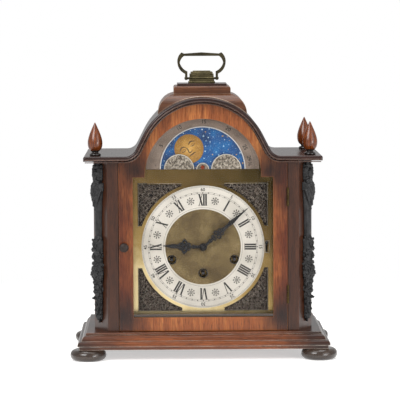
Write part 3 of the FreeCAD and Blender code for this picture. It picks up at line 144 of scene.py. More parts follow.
camera = bpy.data.objects.new("camera", bpy.data.cameras.new("camera"))
camera.data.lens = LENS_MM
camera.location = CAMERA_PLACE
camera.rotation_euler = [math.radians(angle) for angle in CAMERA_TURN]
camera.data.clip_end = 50
scene.collection.objects.link(camera)
scene.camera = camera
scene.view_settings.view_transform = "Standard"


# ---- Base, side panels and posts: solid and veneered walnut, moulded with a spindle, then lacquered.
# The mouldings are stained darker than the flats, and their edges are painted paler, partly as wear through the stain
# and partly as a painted highlight.
def object_points(material, scale):
    """Coordinates on the piece, in millimetres times the scale, which is one number or three."""
    place = add_node(material, "TexCoord")
    shares = scale if isinstance(scale, (list, tuple)) else [scale] * 3
    return add_node(material, "Mapping", inputs={"Vector": place.outputs["Object"],
                                                 "Scale": [1000 * share for share in shares]})


def colour_steps(material, factor, steps):
    """Colour ramp from (position, hex) steps."""
    ramp = add_node(material, "ValToRGB", inputs={"Fac": factor})
    elements = ramp.color_ramp.elements
    while len(elements) < len(steps):
        elements.new(0.5)
    for element, (position, code) in zip(elements, steps):
        element.position = position
        element.color = linear(code)
    return ramp


# Along its grain a pattern is drawn out to about seventeen times its width.
GRAIN = {"x": (0.06, 1, 1), "y": (1, 0.06, 1), "z": (1, 1, 0.06)}


def lacquered_wood(name, dark, middle, light, along="z", gloss=0.3, figure_mm=16, coat=0.12, toner=None,
                  clouds=(), rub_and_highlight=None):
    """Walnut: broad figure, streaks 1 mm wide along the grain, fine dark pores, under satin lacquer.

    The toner is a dark spray that starts and ends at two distances from the middle line, in millimetres.
    Clouds are dark patches of it at (x, z, reach, strength), in millimetres, the same on both sides.
    The rub is the paler colour laid along the edges: partly wear from handling, partly a painted highlight where light
    catches them.
    """
    material = new_material(name)
    stretch = GRAIN[along]
    figure = add_node(material, "TexNoise", inputs={
        "Vector": object_points(material, [share / figure_mm for share in stretch]),
        "Scale": 1.0, "Detail": 4.0, "Roughness": 0.55, "Distortion": 0.6})
    streak = add_node(material, "TexNoise", inputs={
        "Vector": object_points(material, [share * 0.55 for share in stretch]),
        "Scale": 1.0, "Detail": 5.0, "Roughness": 0.65, "Distortion": 0.2})
    pore = add_node(material, "TexNoise", inputs={
        "Vector": object_points(material, [share * 1.9 for share in stretch]),
        "Scale": 1.0, "Detail": 2.0, "Roughness": 0.5})
    blend = add_node(material, "Mix", {"data_type": "FLOAT"}, {0: 0.5, 2: figure, 3: streak})
    wood = colour_steps(material, blend, [(0.30, dark), (0.5, middle), (0.68, light)])
    pores = colour_steps(material, pore, [(0.36, "#6a6a6a"), (0.48, "#ffffff")])
    tone = add_node(material, "Mix", {"data_type": "RGBA", "blend_type": "MULTIPLY"}, {0: 0.55, 6: wood, 7: pores})
    if toner:
        start, end, code = toner
        place = add_node(material, "TexCoord")
        parts = add_node(material, "SeparateXYZ", inputs={0: place.outputs["Object"]})
        side = add_node(material, "Math", {"operation": "ABSOLUTE"}, {0: parts.outputs["X"]})
        uneven = add_node(material, "TexNoise",
                          inputs={"Vector": object_points(material, 0.02), "Scale": 1.0, "Detail": 3.0})
        side = add_node(material, "Math", {"operation": "MULTIPLY_ADD"},
                        {0: uneven, 1: 1.6 * (end - start) * MM, 2: side})
        spray = add_node(material, "MapRange", {"interpolation_type": "SMOOTHSTEP"},
                         {"Value": side, "From Min": (start + 0.8 * (end - start)) * MM,
                          "From Max": (end + 0.8 * (end - start)) * MM})
        tone = add_node(material, "Mix", {"data_type": "RGBA", "blend_type": "MULTIPLY"},
                        {0: spray, 6: tone, 7: linear(code)})
    for x, z, reach, strength in clouds:
        place = add_node(material, "TexCoord")
        half = add_node(material, "VectorMath", {"operation": "ABSOLUTE"}, {0: place.outputs["Object"]})
        flat = add_node(material, "VectorMath", {"operation": "MULTIPLY"}, {0: half, 1: (1, 0, 1)})
        away = add_node(material, "VectorMath", {"operation": "DISTANCE"}, {0: flat, 1: (x * MM, 0, z * MM)})
        spray = add_node(material, "MapRange", {"interpolation_type": "SMOOTHSTEP"},
                         {"Value": away, "From Min": reach * MM, "From Max": 0.0, "To Max": strength})
        tone = add_node(material, "Mix", {"data_type": "RGBA", "blend_type": "MULTIPLY"},
                        {0: spray, 6: tone, 7: linear("#3d3233")})
    # pale edges from the bevel mask: partly wear, partly a painted highlight along the arrises
    if rub_and_highlight:
        rounded = add_node(material, "Bevel", {"samples": 6}, {"Radius": 1.3 * MM})
        true = add_node(material, "NewGeometry")
        edge = add_node(material, "VectorMath", {"operation": "DOT_PRODUCT"}, {0: rounded, 1: true.outputs["Normal"]})
        patch = add_node(material, "TexNoise",
                         inputs={"Vector": object_points(material, 0.05), "Scale": 1.0, "Detail": 3.0})
        worn = add_node(material, "MapRange", inputs={"Value": edge, "From Min": 0.995, "From Max": 0.86})
        some = add_node(material, "MapRange",
                        inputs={"Value": patch, "From Min": 0.3, "From Max": 0.6, "To Min": 0.25, "To Max": 0.9})
        worn = add_node(material, "Math", {"operation": "MULTIPLY"}, {0: worn, 1: some})
        tone = add_node(material, "Mix", {"data_type": "RGBA"}, {0: worn, 6: tone, 7: linear(rub_and_highlight)})
    rough = add_node(material, "MapRange", inputs={"Value": streak, "To Min": gloss - 0.06, "To Max": gloss + 0.12})
    bump = add_node(material, "Bump", inputs={"Strength": 0.12, "Distance": 0.0002, "Height": pore})
    shader = add_node(material, "BsdfPrincipled", inputs={
        "Base Color": tone, "Roughness": rough, "Normal": bump,
        "Coat Weight": coat, "Coat Roughness": 0.16, "Specular IOR Level": 0.35})
    return surfaced(material, shader)


def finish(node, material):
    """Give a CAD node its material."""
    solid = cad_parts[node]
    solid.data.materials.clear()
    solid.data.materials.append(material)
    return solid


# Side veneer and posts are near black-brown and quiet; the moulding is redder, with pale edges that are partly wear
# and partly painted highlight; ply is pale.
walnut_side = lacquered_wood("walnut_side_veneer", "#2a140c", "#41200f", "#582b18")
walnut_post = lacquered_wood("walnut_post", "#2a150c", "#402213", "#55301d")
walnut_base = lacquered_wood("walnut_moulding", "#2e180b", "#5f2e10", "#87461b", along="x", figure_mm=26,
                             toner=(85, 165, "#77726e"), rub_and_highlight="#c2b8aa", coat=0.3)
plain_ply = lacquered_wood("birch_plywood", "#8d6b45", "#a8835a", "#bb9668", gloss=0.6, coat=0.0)
for node in ("side_panel_left", "side_panel_right"):
    finish(node, walnut_side)
for node in ("corner_post_left", "corner_post_right"):
    finish(node, walnut_post)
finish("base_plinth", walnut_base)
for node in ("case_floor", "back_frame", "back_door", "seat_board"):
    finish(node, plain_ply)

# ---- Feet: four turned buns, stained nearly black and polished.
# A thick glossy lacquer gives them a bright line of light round the rim.
foot_stain = lacquered_wood("stained_beech_foot", "#1f1815", "#33271f", "#4a3a2f", along="x", gloss=0.2, coat=0.6)
finish("bun_feet", foot_stain)


# ---- Roof board and caddy: bent and moulded walnut, dark on the moulded edge and redder on the caddy.
# Two beads run along the roof's front edge, coloured paler than the roof as a painted highlight, and the caddy is
# glued on top.
# the pale edge colours of roof and caddy are partly a painted highlight as well as wear
roof_stain = lacquered_wood("walnut_roof", "#150a06", "#26110b", "#381a12", along="x", gloss=0.22, rub_and_highlight="#85746a")
caddy_walnut = lacquered_wood("walnut_caddy", "#361c10", "#563018", "#7b4a29", along="x", figure_mm=20,
                              rub_and_highlight="#b7a28c")
finish("roof_board", roof_stain)
finish("caddy_top", caddy_walnut)
finish("caddy_plinth", caddy_walnut)
finish("handle_slab", roof_stain)


def settle(piece, name, material, body):
    """Name a finished piece, give it its material and body, and leave its place in its mesh."""
    bpy.ops.object.select_all(action="DESELECT")
    piece.select_set(True)
    bpy.context.view_layer.objects.active = piece
    bpy.ops.object.transform_apply(location=True, rotation=True, scale=True)
    piece.name = name
    piece.data.name = name
    piece.data.materials.clear()
    piece.data.materials.append(material)
    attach(piece, body)


def joined(pieces):
    """Join pieces into the first."""
    bpy.ops.object.select_all(action="DESELECT")
    for piece in pieces:
        piece.select_set(True)
    bpy.context.view_layer.objects.active = pieces[0]
    if len(pieces) > 1:
        bpy.ops.object.join()
    return pieces[0]


def added_block(x, y, z, width, depth, height, bevel=0.0):
    """A block with chamfered edges, in millimetres about its middle."""
    bpy.ops.object.select_all(action="DESELECT")
    bpy.ops.mesh.primitive_cube_add(size=1, location=(0, 0, 0))
    block = bpy.context.object
    bpy.ops.object.mode_set(mode="EDIT")
    bpy.ops.mesh.select_all(action="SELECT")
    bpy.ops.transform.resize(value=(width * MM, depth * MM, height * MM))
    bpy.ops.transform.translate(value=(x * MM, y * MM, z * MM))
    if bevel:
        bpy.ops.mesh.bevel(offset=bevel * MM, segments=1)
    bpy.ops.object.mode_set(mode="OBJECT")
    return block


def copied(piece, matrix):
    """A copy with its own mesh, moved by the matrix."""
    twin = piece.copy()
    twin.data = piece.data.copy()
    twin.data.transform(matrix)
    scene.collection.objects.link(twin)
    return twin


def front_outline(solid, drop_mm):
    """Points along the upper edge of a board's front face, from left to right, moved down square to the edge."""
    mesh = bmesh.new()
    mesh.from_mesh(solid.data)
    bmesh.ops.remove_doubles(mesh, verts=mesh.verts, dist=0.00001)
    front = min(vertex.co.y for vertex in mesh.verts) + 0.00002
    rim = [edge for edge in mesh.edges if all(vertex.co.y < front for vertex in edge.verts)
           and any(vertex.co.y > front for face in edge.link_faces for vertex in face.verts)]
    near = {}
    for edge in rim:
        for one, other in (edge.verts, reversed(edge.verts)):
            near.setdefault(one, []).append(other)
    start = min((vertex for vertex in near), key=lambda vertex: (round(vertex.co.x, 5), -vertex.co.z))
    step = max(near[start], key=lambda vertex: vertex.co.x)
    walk = [start, step]
    while walk[-1].co.x < -start.co.x - 0.00005 and len(walk) < 2000:
        walk.append(next(vertex for vertex in near[walk[-1]] if vertex != walk[-2]))
    points = [vertex.co.copy() for vertex in walk]
    mesh.free()
    moved = []
    for index, point in enumerate(points):
        ahead = points[min(index + 1, len(points) - 1)] - points[max(index - 1, 0)]
        down = Vector((ahead.z, 0, -ahead.x)).normalized()
        moved.append(point + down * drop_mm * MM)
    return moved


def curve_mesh(curve):
    """Mesh piece made from a curve."""
    holder = bpy.data.objects.new(curve.name, curve)
    scene.collection.objects.link(holder)
    bpy.ops.object.select_all(action="DESELECT")
    holder.select_set(True)
    bpy.context.view_layer.objects.active = holder
    bpy.ops.object.convert(target="MESH")
    return bpy.context.object


def swept_bead(points, radius_mm):
    """Round bead that follows the points, as a mesh."""
    path = bpy.data.curves.new("bead_path", "CURVE")
    path.dimensions = "3D"
    line = path.splines.new("POLY")
    line.points.add(len(points) - 1)
    for target, point in zip(line.points, points):
        target.co = (*point, 1)
    path.bevel_depth = radius_mm * MM
    path.bevel_resolution = 2
    path.use_fill_caps = True
    bead = curve_mesh(path)
    bpy.ops.object.shade_smooth()
    return bead


roof_beads = joined([swept_bead(front_outline(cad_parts["roof_board"], drop), radius)
                     for drop, radius in ((0.4, 0.9), (3.4, 0.6))])
# the beads are coloured paler than the roof board: a painted highlight along its edge
roof_bead_highlight_wood = lacquered_wood("roof_bead_painted_highlight", "#24150f", "#49342b", "#634b3f", along="x", gloss=0.2, coat=0.3)
settle(roof_beads, "roof_edge_beads", roof_bead_highlight_wood, "case")

# ---- Finials: turned from a reddish wood, french polished, on a collar stained black.
# The stain stops at the shoulder of the collar, so it is worked out from the height on the finial.
def turned_finial_wood():
    """Reddish cherry with long soft streaks and a gloss; the collar below the shoulder is stained black."""
    material = new_material("polished_cherry_finial")
    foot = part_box("finial_front_left")[0][2]
    grain = add_node(material, "TexNoise",
                     inputs={"Vector": object_points(material, (0.5, 0.5, 0.05)), "Scale": 1.0, "Detail": 5.0})
    wood = colour_steps(material, grain, [(0.3, "#421c0a"), (0.5, "#65300f"), (0.7, "#804015")])
    place = add_node(material, "TexCoord")
    height = add_node(material, "SeparateXYZ", inputs={0: place.outputs["Object"]})
    collar = add_node(material, "MapRange",
                      inputs={"Value": height.outputs["Z"], "From Min": foot + 6.6 * MM, "From Max": foot + 7.4 * MM})
    tone = add_node(material, "Mix", {"data_type": "RGBA"}, {0: collar, 6: linear("#1d1512"), 7: wood})
    shader = add_node(material, "BsdfPrincipled",
                      inputs={"Base Color": tone, "Roughness": 0.24, "Coat Weight": 0.25, "Coat Roughness": 0.22})
    return surfaced(material, shader)


finial_wood = turned_finial_wood()
FINIAL_PROFILE = [(7.0, 0.0), (7.5, 0.6), (7.5, 2.0), (6.6, 2.9), (4.7, 3.6), (4.3, 4.6), (5.2, 5.7), (7.2, 7.4),
                  (8.8, 10.2), (9.6, 13.4), (9.75, 16.6), (9.4, 20), (8.5, 24), (7.2, 28), (5.6, 32), (4.0, 35.6),
                  (2.6, 38.8), (1.4, 41.4), (0.5, 43.2), (0.0, 43.5)]


def close_up(merge_mm):
    """In edit mode, merge points that lie together and turn all faces outward."""
    bpy.ops.mesh.select_all(action="SELECT")
    bpy.ops.mesh.remove_doubles(threshold=merge_mm * MM)
    bpy.ops.mesh.normals_make_consistent(inside=False)


def turned_piece(profile, steps=40):
    """Turn a profile of (radius, height) points, in millimetres, round the upright axis at the origin."""
    bpy.ops.object.select_all(action="DESELECT")
    bpy.ops.mesh.primitive_plane_add(size=0.001, location=(0, 0, 0))
    piece = bpy.context.object
    bpy.ops.object.mode_set(mode="EDIT")
    bpy.ops.mesh.select_all(action="SELECT")
    bpy.ops.mesh.merge(type="CENTER")
    bpy.ops.transform.translate(value=(profile[0][0] * MM, 0, profile[0][1] * MM))
    for (radius, height), (next_radius, next_height) in zip(profile, profile[1:]):
        bpy.ops.mesh.extrude_region_move(TRANSFORM_OT_translate={
            "value": ((next_radius - radius) * MM, 0, (next_height - height) * MM)})
    bpy.ops.mesh.select_all(action="SELECT")
    bpy.ops.mesh.spin(steps=steps, angle=2 * math.pi, center=(0, 0, 0), axis=(0, 0, 1))
    close_up(0.02)
    bpy.ops.object.mode_set(mode="OBJECT")
    bpy.ops.object.select_all(action="DESELECT")
    piece.select_set(True)
    bpy.ops.object.shade_smooth_by_angle(angle=math.radians(50))
    return piece


finial = turned_piece(FINIAL_PROFILE)
for node in ("finial_front_left", "finial_front_right", "finial_back_right"):
    low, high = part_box(node)
    spot = ((low[0] + high[0]) / 2, (low[1] + high[1]) / 2, low[2])
    twin = copied(finial, Matrix.Translation(spot))
    settle(twin, "turned_" + node, finial_wood, "case")
    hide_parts(node)
bpy.data.objects.remove(finial)


# ---- Movement, handle and hinges: sheet brass, cast bronze and steel, each with the wear of its own making.
# The handle swings on pins in a cast saddle whose ribs are rubbed brighter than the handle.
def worked_metal(name, base, dull, rough, metallic=1.0, grit_mm=1.2, relief=0.15, patches_mm=14):
    """Metal with patches of tarnish, a fine grit in its gloss, and a slightly uneven surface."""
    material = new_material(name)
    patch = add_node(material, "TexNoise", inputs={"Vector": object_points(material, 1 / patches_mm), "Scale": 1.0,
                                                   "Detail": 4.0, "Roughness": 0.6})
    grit = add_node(material, "TexNoise",
                    inputs={"Vector": object_points(material, 1 / grit_mm), "Scale": 1.0, "Detail": 3.0})
    tone = colour_steps(material, patch, [(0.35, dull), (0.62, base)])
    gloss = add_node(material, "MapRange", inputs={"Value": grit, "From Min": 0.3, "From Max": 0.7,
                                                   "To Min": rough - 0.08, "To Max": rough + 0.12})
    bump = add_node(material, "Bump", inputs={"Strength": relief, "Distance": 0.0003, "Height": grit})
    shader = add_node(material, "BsdfPrincipled",
                      inputs={"Base Color": tone, "Metallic": metallic, "Roughness": gloss, "Normal": bump})
    return surfaced(material, shader)


# Lacquered brass is warm and even; bronze is olive-brown with dull patches; the casting is black and barely shines.
# Blued steel looks almost black, and the antiqued relief is pale metal over grey-brown patches.
movement_brass = worked_metal("lacquered_movement_brass", "#c6a35e", "#b59251", 0.3, relief=0.03, patches_mm=34)
aged_bronze = worked_metal("aged_bronze", "#4e4836", "#38342a", 0.4, relief=0.05, patches_mm=9)
hinge_brass = worked_metal("dark_hinge_brass", "#54452a", "#33291a", 0.42)
black_cast = worked_metal("blackened_casting", "#2c2c2d", "#131314", 0.46, metallic=0.35, patches_mm=6)
blued_steel = worked_metal("blued_steel", "#131317", "#0a0a0c", 0.42, metallic=0.3, relief=0.02)
antique_relief = worked_metal("antiqued_relief", "#8f867a", "#4a443d", 0.45, metallic=0.7, grit_mm=0.8, patches_mm=3)
for node in ("hour_wheel", "minute_wheel", "front_movement_plate", "back_movement_plate", "movement_pillars",
             "strike_barrel", "time_barrel", "chime_barrel", "balance_wheel", "chime_hammer_1", "chime_hammer_2",
             "chime_hammer_3", "chime_hammer_4", "dial_posts"):
    finish(node, movement_brass)
dark_steel = worked_metal("dark_arbor_steel", "#4a4a4c", "#29292b", 0.36, metallic=0.8, relief=0.02)
for node in ("centre_arbor", "strike_winding_arbor", "time_winding_arbor", "chime_winding_arbor"):
    finish(node, dark_steel)
for node in ("handle_saddle", "handle_pins", "carry_handle"):
    finish(node, aged_bronze)
low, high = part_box("handle_saddle")
tiers = []
# Each tier of the saddle has its width, depth and rise; broad ribs stand between narrower necks.
SADDLE_TIERS = [(36.0, 21.6, 2.6), (33.6, 19.6, 3.4), (34.4, 20.2, 1.9), (32.4, 18.4, 3.2), (32.8, 18.6, 1.6),
                (29.6, 15.6, 2.6), (24.0, 11.0, 1.3)]
height = low[2] / MM
for width, depth, rise in SADDLE_TIERS:
    tiers.append(added_block(0, 500 * (low[1] + high[1]), height + rise / 2, width, depth, rise + 0.02, 0.75))
    height += rise
saddle = joined(tiers)
rubbed_bronze = worked_metal("rubbed_bronze_saddle", "#6b6247", "#4f4936", 0.38, relief=0.05, patches_mm=9)
settle(saddle, "ribbed_saddle", rubbed_bronze, "case")
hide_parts("handle_saddle")
for node in ("case_hinge_pins", "door_hinge_leaves", "back_door_leaves"):
    finish(node, hinge_brass)
finish("chime_rods", worked_metal("bronze_rods_and_block", "#8a6f42", "#5b4a2f", 0.4))
finish("moon_stud", antique_relief)
for node in ("hour_hand", "minute_hand", "hand_nut", "chime_lever"):
    finish(node, blued_steel)
for node in ("corner_mount_left", "corner_mount_right"):
    finish(node, black_cast)

# ---- Front door: walnut frame with vertical figure, clear sheet glass held by thin beads, turned dark knob.
# A dark toner was sprayed on its haunches and lower corners, and a stained sill carries the glass.
door_walnut = lacquered_wood("walnut_door_veneer", "#5e2e15", "#945127", "#c07c42", gloss=0.26,
                             toner=(72, 116, "#97796a"), rub_and_highlight="#8f5c38",
                             clouds=((88, 248, 46, 0.95), (104, 56, 44, 0.9), (106, 205, 40, 0.4)))
finish("door_frame", door_walnut)
finish("glass_beads", door_walnut)
knob_wood = lacquered_wood("dark_turned_knob", "#150e0b", "#241813", "#38271f", along="y", gloss=0.5, coat=0.0)
finish("door_knob", knob_wood)
finish("back_door_knob", knob_wood)
finish("dial_mask", roof_stain)


def sheet_glass():
    """Thin clear glass: light goes straight through, and only the faint reflection of the room shows."""
    material = new_material("clear_sheet_glass")
    clear = add_node(material, "BsdfTransparent", inputs={"Color": (0.985, 0.98, 0.975, 1)})
    shine = add_node(material, "BsdfGlossy", inputs={"Color": (1, 1, 1, 1), "Roughness": 0.03})
    slant = add_node(material, "LayerWeight", inputs={"Blend": 0.5})
    slant = add_node(material, "Math", {"operation": "POWER"}, {0: slant.outputs["Facing"], 1: 4.0})
    faint = add_node(material, "MapRange", inputs={"Value": slant, "To Min": 0.004, "To Max": 0.5})
    mix = add_node(material, "MixShader", inputs={0: faint, 1: clear, 2: shine})
    return surfaced(material, mix)


finish("door_glass", sheet_glass())
SILL_PLACE, SILL_SIZE = (0, -69.6, 56.6), (184.8, 3.6, 3.4)
sill = added_block(*SILL_PLACE, *SILL_SIZE, 0.5)
settle(sill, "glass_sill", foot_stain, "front_door")

# ---- Dial plate: one sheet of brass behind everything, satin at its border and bronzed at its middle.
# The middle is matted and stained inside the chapter ring, and on the sheet round it a reflection of the room is
# painted, bright at the bottom left and dark towards the top.
DIAL_Z = 145.5
DIAL_FACE = -53.0
RING_FACE = -54.0


def radius_on_dial(material, height_mm):
    """Distance in millimetres from a centre line at the given height, in the plane of the dial."""
    place = add_node(material, "TexCoord")
    flat = add_node(material, "VectorMath", {"operation": "MULTIPLY_ADD"},
                    {0: place.outputs["Object"], 1: (1000, 0, 1000), 2: (0, 0, -height_mm)})
    return add_node(material, "VectorMath", {"operation": "LENGTH"}, {0: flat})


def dial_plate_brass():
    """Sheet brass with a painted reflection, bright at its bottom left and dark towards its top; its middle, 50 mm in
    radius, is matted and bronzed.
    """
    material = new_material("bronzed_dial_brass")
    radius = radius_on_dial(material, DIAL_Z)
    middle = add_node(material, "MapRange", inputs={"Value": radius, "From Min": 50.5, "From Max": 49.5})
    stain = add_node(material, "TexNoise",
                     inputs={"Vector": object_points(material, 0.045), "Scale": 1.0, "Detail": 5.0, "Roughness": 0.6})
    bronze = colour_steps(material, stain, [(0.3, "#544428"), (0.5, "#776641"), (0.72, "#938159")])
    place = add_node(material, "TexCoord")
    # painted reflection: the brass is made bright at the bottom left and dark towards the top, as the room's light
    # falls on it
    painted_reflection_slope = add_node(material, "VectorMath", {"operation": "DOT_PRODUCT"},
                     {0: place.outputs["Object"], 1: (-2.4, 0, -4.4)})
    painted_reflection_slope = add_node(material, "Math", {"operation": "MULTIPLY_ADD"}, {0: stain, 1: 0.5, 2: painted_reflection_slope})
    painted_reflection_slope = add_node(material, "Math", {"operation": "ADD"}, {0: painted_reflection_slope, 1: 1.0})
    brass = colour_steps(material, painted_reflection_slope, [(0.0, "#4a3d1e"), (0.35, "#75603a"), (0.75, "#ac915a"), (1.0, "#e6d3a0")])
    matting = add_node(material, "TexNoise",
                       inputs={"Vector": object_points(material, 1.1), "Scale": 1.0, "Detail": 3.0})
    punched = colour_steps(material, matting, [(0.4, "#9a9084"), (0.6, "#ffffff")])
    bronze = add_node(material, "Mix", {"data_type": "RGBA", "blend_type": "MULTIPLY"},
                      {0: 0.7, 6: bronze, 7: punched})
    tone = add_node(material, "Mix", {"data_type": "RGBA"}, {0: middle, 6: brass, 7: bronze})
    rough = add_node(material, "MapRange", inputs={"Value": middle, "To Min": 0.3, "To Max": 0.62})
    metal = add_node(material, "MapRange", inputs={"Value": middle, "To Min": 0.9, "To Max": 0.35})
    bump = add_node(material, "Bump", inputs={"Strength": 0.18, "Distance": 0.0002, "Height": matting})
    shader = add_node(material, "BsdfPrincipled", inputs={
        "Base Color": tone, "Metallic": metal, "Roughness": rough,
        "Normal": bump})
    return surfaced(material, shader)


finish("dial_plate", dial_plate_brass())

# ---- Chapter ring: silvered brass, pinned to the dial plate and printed with fine black lines.
# The minute track is two lines with a mark at each minute, and a heavier dot at each fifth.
TRACK_RADIUS = 71.6
# Each printed line has its radius and half its width, too fine to show unless drawn a little coarse.
RING_LINES = ((80.0, 0.16), (78.9, 0.1), (72.5, 0.13), (70.7, 0.13), (52.2, 0.14))


def printed_silver_ring():
    """Silvered brass: pale, faintly clouded and half matt, with fine black lines at measured radii."""
    material = new_material("silvered_brass_ring")
    radius = radius_on_dial(material, DIAL_Z)
    place = add_node(material, "TexCoord")
    centred = add_node(material, "VectorMath", {"operation": "MULTIPLY_ADD"},
                       {0: place.outputs["Object"], 1: (1000, 0, 1000), 2: (0, 0, -DIAL_Z)})
    parts = add_node(material, "SeparateXYZ", inputs={0: centred})
    turn = add_node(material, "Math", {"operation": "ARCTAN2"}, {0: parts.outputs["X"], 1: parts.outputs["Z"]})
    minute = add_node(material, "Math", {"operation": "MULTIPLY_ADD"}, {0: turn, 1: 60 / (2 * math.pi), 2: 60.5})
    share = add_node(material, "Math", {"operation": "FRACT"}, {0: minute})
    from_mark = add_node(material, "Math", {"operation": "SUBTRACT"}, {0: share, 1: 0.5})
    from_mark = add_node(material, "Math", {"operation": "ABSOLUTE"}, {0: from_mark})
    tick = add_node(material, "Math", {"operation": "LESS_THAN"}, {0: from_mark, 1: 0.07})
    in_track = add_node(material, "Math", {"operation": "COMPARE"}, {0: radius, 1: TRACK_RADIUS, 2: 0.75})
    ink = add_node(material, "Math", {"operation": "MULTIPLY"}, {0: tick, 1: in_track})
    for line_radius, half_width in RING_LINES:
        line = add_node(material, "Math", {"operation": "COMPARE"}, {0: radius, 1: line_radius, 2: half_width})
        ink = add_node(material, "Math", {"operation": "MAXIMUM"}, {0: ink, 1: line})
    cloud = add_node(material, "TexNoise",
                     inputs={"Vector": object_points(material, 0.03), "Scale": 1.0, "Detail": 4.0})
    silver = colour_steps(material, cloud, [(0.32, "#bcb8ae"), (0.6, "#cfcbc2")])
    tone = add_node(material, "Mix", {"data_type": "RGBA"}, {0: ink, 6: silver, 7: linear("#2f2c28")})
    shader = add_node(material, "BsdfPrincipled", inputs={"Base Color": tone, "Roughness": 0.38})
    return surfaced(material, shader)


finish("chapter_ring", printed_silver_ring())


def print_ink(name, code):
    """Black dial ink: thin, matt and a little worn, so that it is a dark grey in places."""
    material = new_material(name)
    wear = add_node(material, "TexNoise", inputs={"Vector": object_points(material, 0.9), "Scale": 1.0, "Detail": 3.0})
    tone = colour_steps(material, wear, [(0.35, code), (0.75, "#3a3835")])
    shader = add_node(material, "BsdfPrincipled", inputs={"Base Color": tone, "Roughness": 0.5})
    return surfaced(material, shader)


dial_ink = print_ink("black_dial_ink", "#171614")
INK_Y = RING_FACE - 0.06


def clock_place(radius_mm, degrees, face_mm=INK_Y, centre_z=DIAL_Z):
    """Matrix that turns a piece drawn upright at the origin to its place round a centre, tops outward."""
    return (Matrix.Translation((0, face_mm * MM, centre_z * MM)) @ Matrix.Rotation(math.radians(degrees), 4, "Y")
            @ Matrix.Translation((0, 0, radius_mm * MM)))


# ---- Hour numerals: roman figures of printed strokes with small feet, their tops outward.
# Thick and thin strokes are drawn once each and copied to every figure.
NUMERAL_HEIGHT = 15.4
NUMERAL_RADIUS = 62.4
THICK_STROKE = 2.15
THIN_STROKE = 0.85


def numeral_stroke(width, lean_mm):
    """One stroke about the middle of a figure; its top stands lean_mm to the right of its foot."""
    stroke = added_block(0, 0, 0, width, 0.12, NUMERAL_HEIGHT - 0.5)
    bpy.ops.object.mode_set(mode="EDIT")
    bpy.ops.mesh.select_all(action="DESELECT")
    bpy.ops.object.mode_set(mode="OBJECT")
    for vertex in stroke.data.vertices:
        vertex.select = vertex.co.z > 0
    bpy.ops.object.mode_set(mode="EDIT")
    bpy.ops.transform.translate(value=(lean_mm * MM, 0, 0))
    bpy.ops.object.mode_set(mode="OBJECT")
    return stroke


foot_stroke = added_block(0, 0, 0, THICK_STROKE + 1.0, 0.12, 0.5)
# Each letter has its width, and its strokes with their places from its middle.
strokes = {
    "I": (2.9, [("thick", 0)]),
    "V": (5.6, [("left", -1.7), ("right", 1.7)]),
    "X": (5.6, [("back", 0), ("slash", 0)]),
}
stroke_pieces = {
    "thick": numeral_stroke(THICK_STROKE, 0),
    "left": numeral_stroke(THICK_STROKE, -2.6),
    "right": numeral_stroke(THIN_STROKE, 2.6),
    "back": numeral_stroke(THICK_STROKE, -4.0),
    "slash": numeral_stroke(THIN_STROKE, 4.0),
}
# a leaning stroke stands in the middle of its own width
for kind, shift in (("left", 1.3), ("right", -1.3), ("back", 2.0), ("slash", -2.0)):
    stroke_pieces[kind].data.transform(Matrix.Translation((shift * MM, 0, 0)))
FOOT_ENDS = {"thick": [(0, -1), (0, 1)], "left": [(-1.3, 1)], "right": [(1.3, 1)], "back": [(-2.0, 1), (2.0, -1)],
             "slash": [(2.0, 1), (-2.0, -1)]}
HOURS = ["XII", "I", "II", "III", "IIII", "V", "VI", "VII", "VIII", "IX", "X", "XI"]
numerals = []
for hour, figure in enumerate(HOURS):
    whole = sum(strokes[letter][0] for letter in figure)
    start = -whole / 2
    spot = clock_place(NUMERAL_RADIUS, 30 * hour)
    for letter in figure:
        width, kinds = strokes[letter]
        for kind, shift in kinds:
            x = start + width / 2 + shift
            numerals.append(copied(stroke_pieces[kind], spot @ Matrix.Translation((x * MM, 0, 0))))
            for foot_x, end in FOOT_ENDS[kind]:
                foot_place = Matrix.Translation(((x + foot_x) * MM, 0, end * (NUMERAL_HEIGHT / 2 - 0.25) * MM))
                numerals.append(copied(foot_stroke, spot @ foot_place))
        start += width
for piece in [foot_stroke] + list(stroke_pieces.values()):
    bpy.data.objects.remove(piece)
settle(joined(numerals), "hour_numerals", dial_ink, "case")

# ---- Half-hour marks: eight-armed stars with lozenge tips, printed between the numerals.
# The arm is drawn once and turned seven times, and the star is copied round the dial.
STAR_RADIUS, STAR_SCALE = 62.6, 1.38
star_bits = []
bar = added_block(0, 0, 1.75, 0.5, 0.1, 2.6)
tip = added_block(0, 0, 0, 1.15, 0.1, 1.15)
tip.data.transform(Matrix.Translation((0, 0, 3.1 * MM)) @ Matrix.Rotation(math.radians(45), 4, "Y"))
arm = joined([bar, tip])
for step in range(8):
    star_bits.append(copied(arm, Matrix.Rotation(math.radians(45 * step), 4, "Y")))
bpy.data.objects.remove(arm)
star = joined(star_bits)
stars = [copied(star, clock_place(STAR_RADIUS, 30 * step + 15) @ Matrix.Scale(STAR_SCALE, 4)) for step in range(12)]
bpy.data.objects.remove(star)
star_ink = print_ink("grey_dial_ink", "#24211d")
settle(joined(stars), "half_hour_stars", star_ink, "case")

# ---- Minute figures: printed fives from 5 to 60 near the rim, with a dot on the track below each.
# A figure is drawn as text, made a mesh, and stood on the ring with its top outward.
def printed_text(words, height_mm, matrix):
    """Thin raised text, centred, upright in the plane of the dial, then moved by the matrix."""
    bpy.ops.object.select_all(action="DESELECT")
    bpy.ops.object.text_add(location=(0, 0, 0))
    text = bpy.context.object
    text.data.body = words
    text.data.size = height_mm * MM / 0.7
    text.data.extrude = 0.05 * MM
    text.data.offset = 0.12 * MM
    text.data.align_x = "CENTER"
    text.data.align_y = "CENTER"
    text.data.resolution_u = 3
    bpy.ops.object.convert(target="MESH")
    text.data.transform(matrix @ Matrix.Rotation(math.radians(90), 4, "X"))
    return text


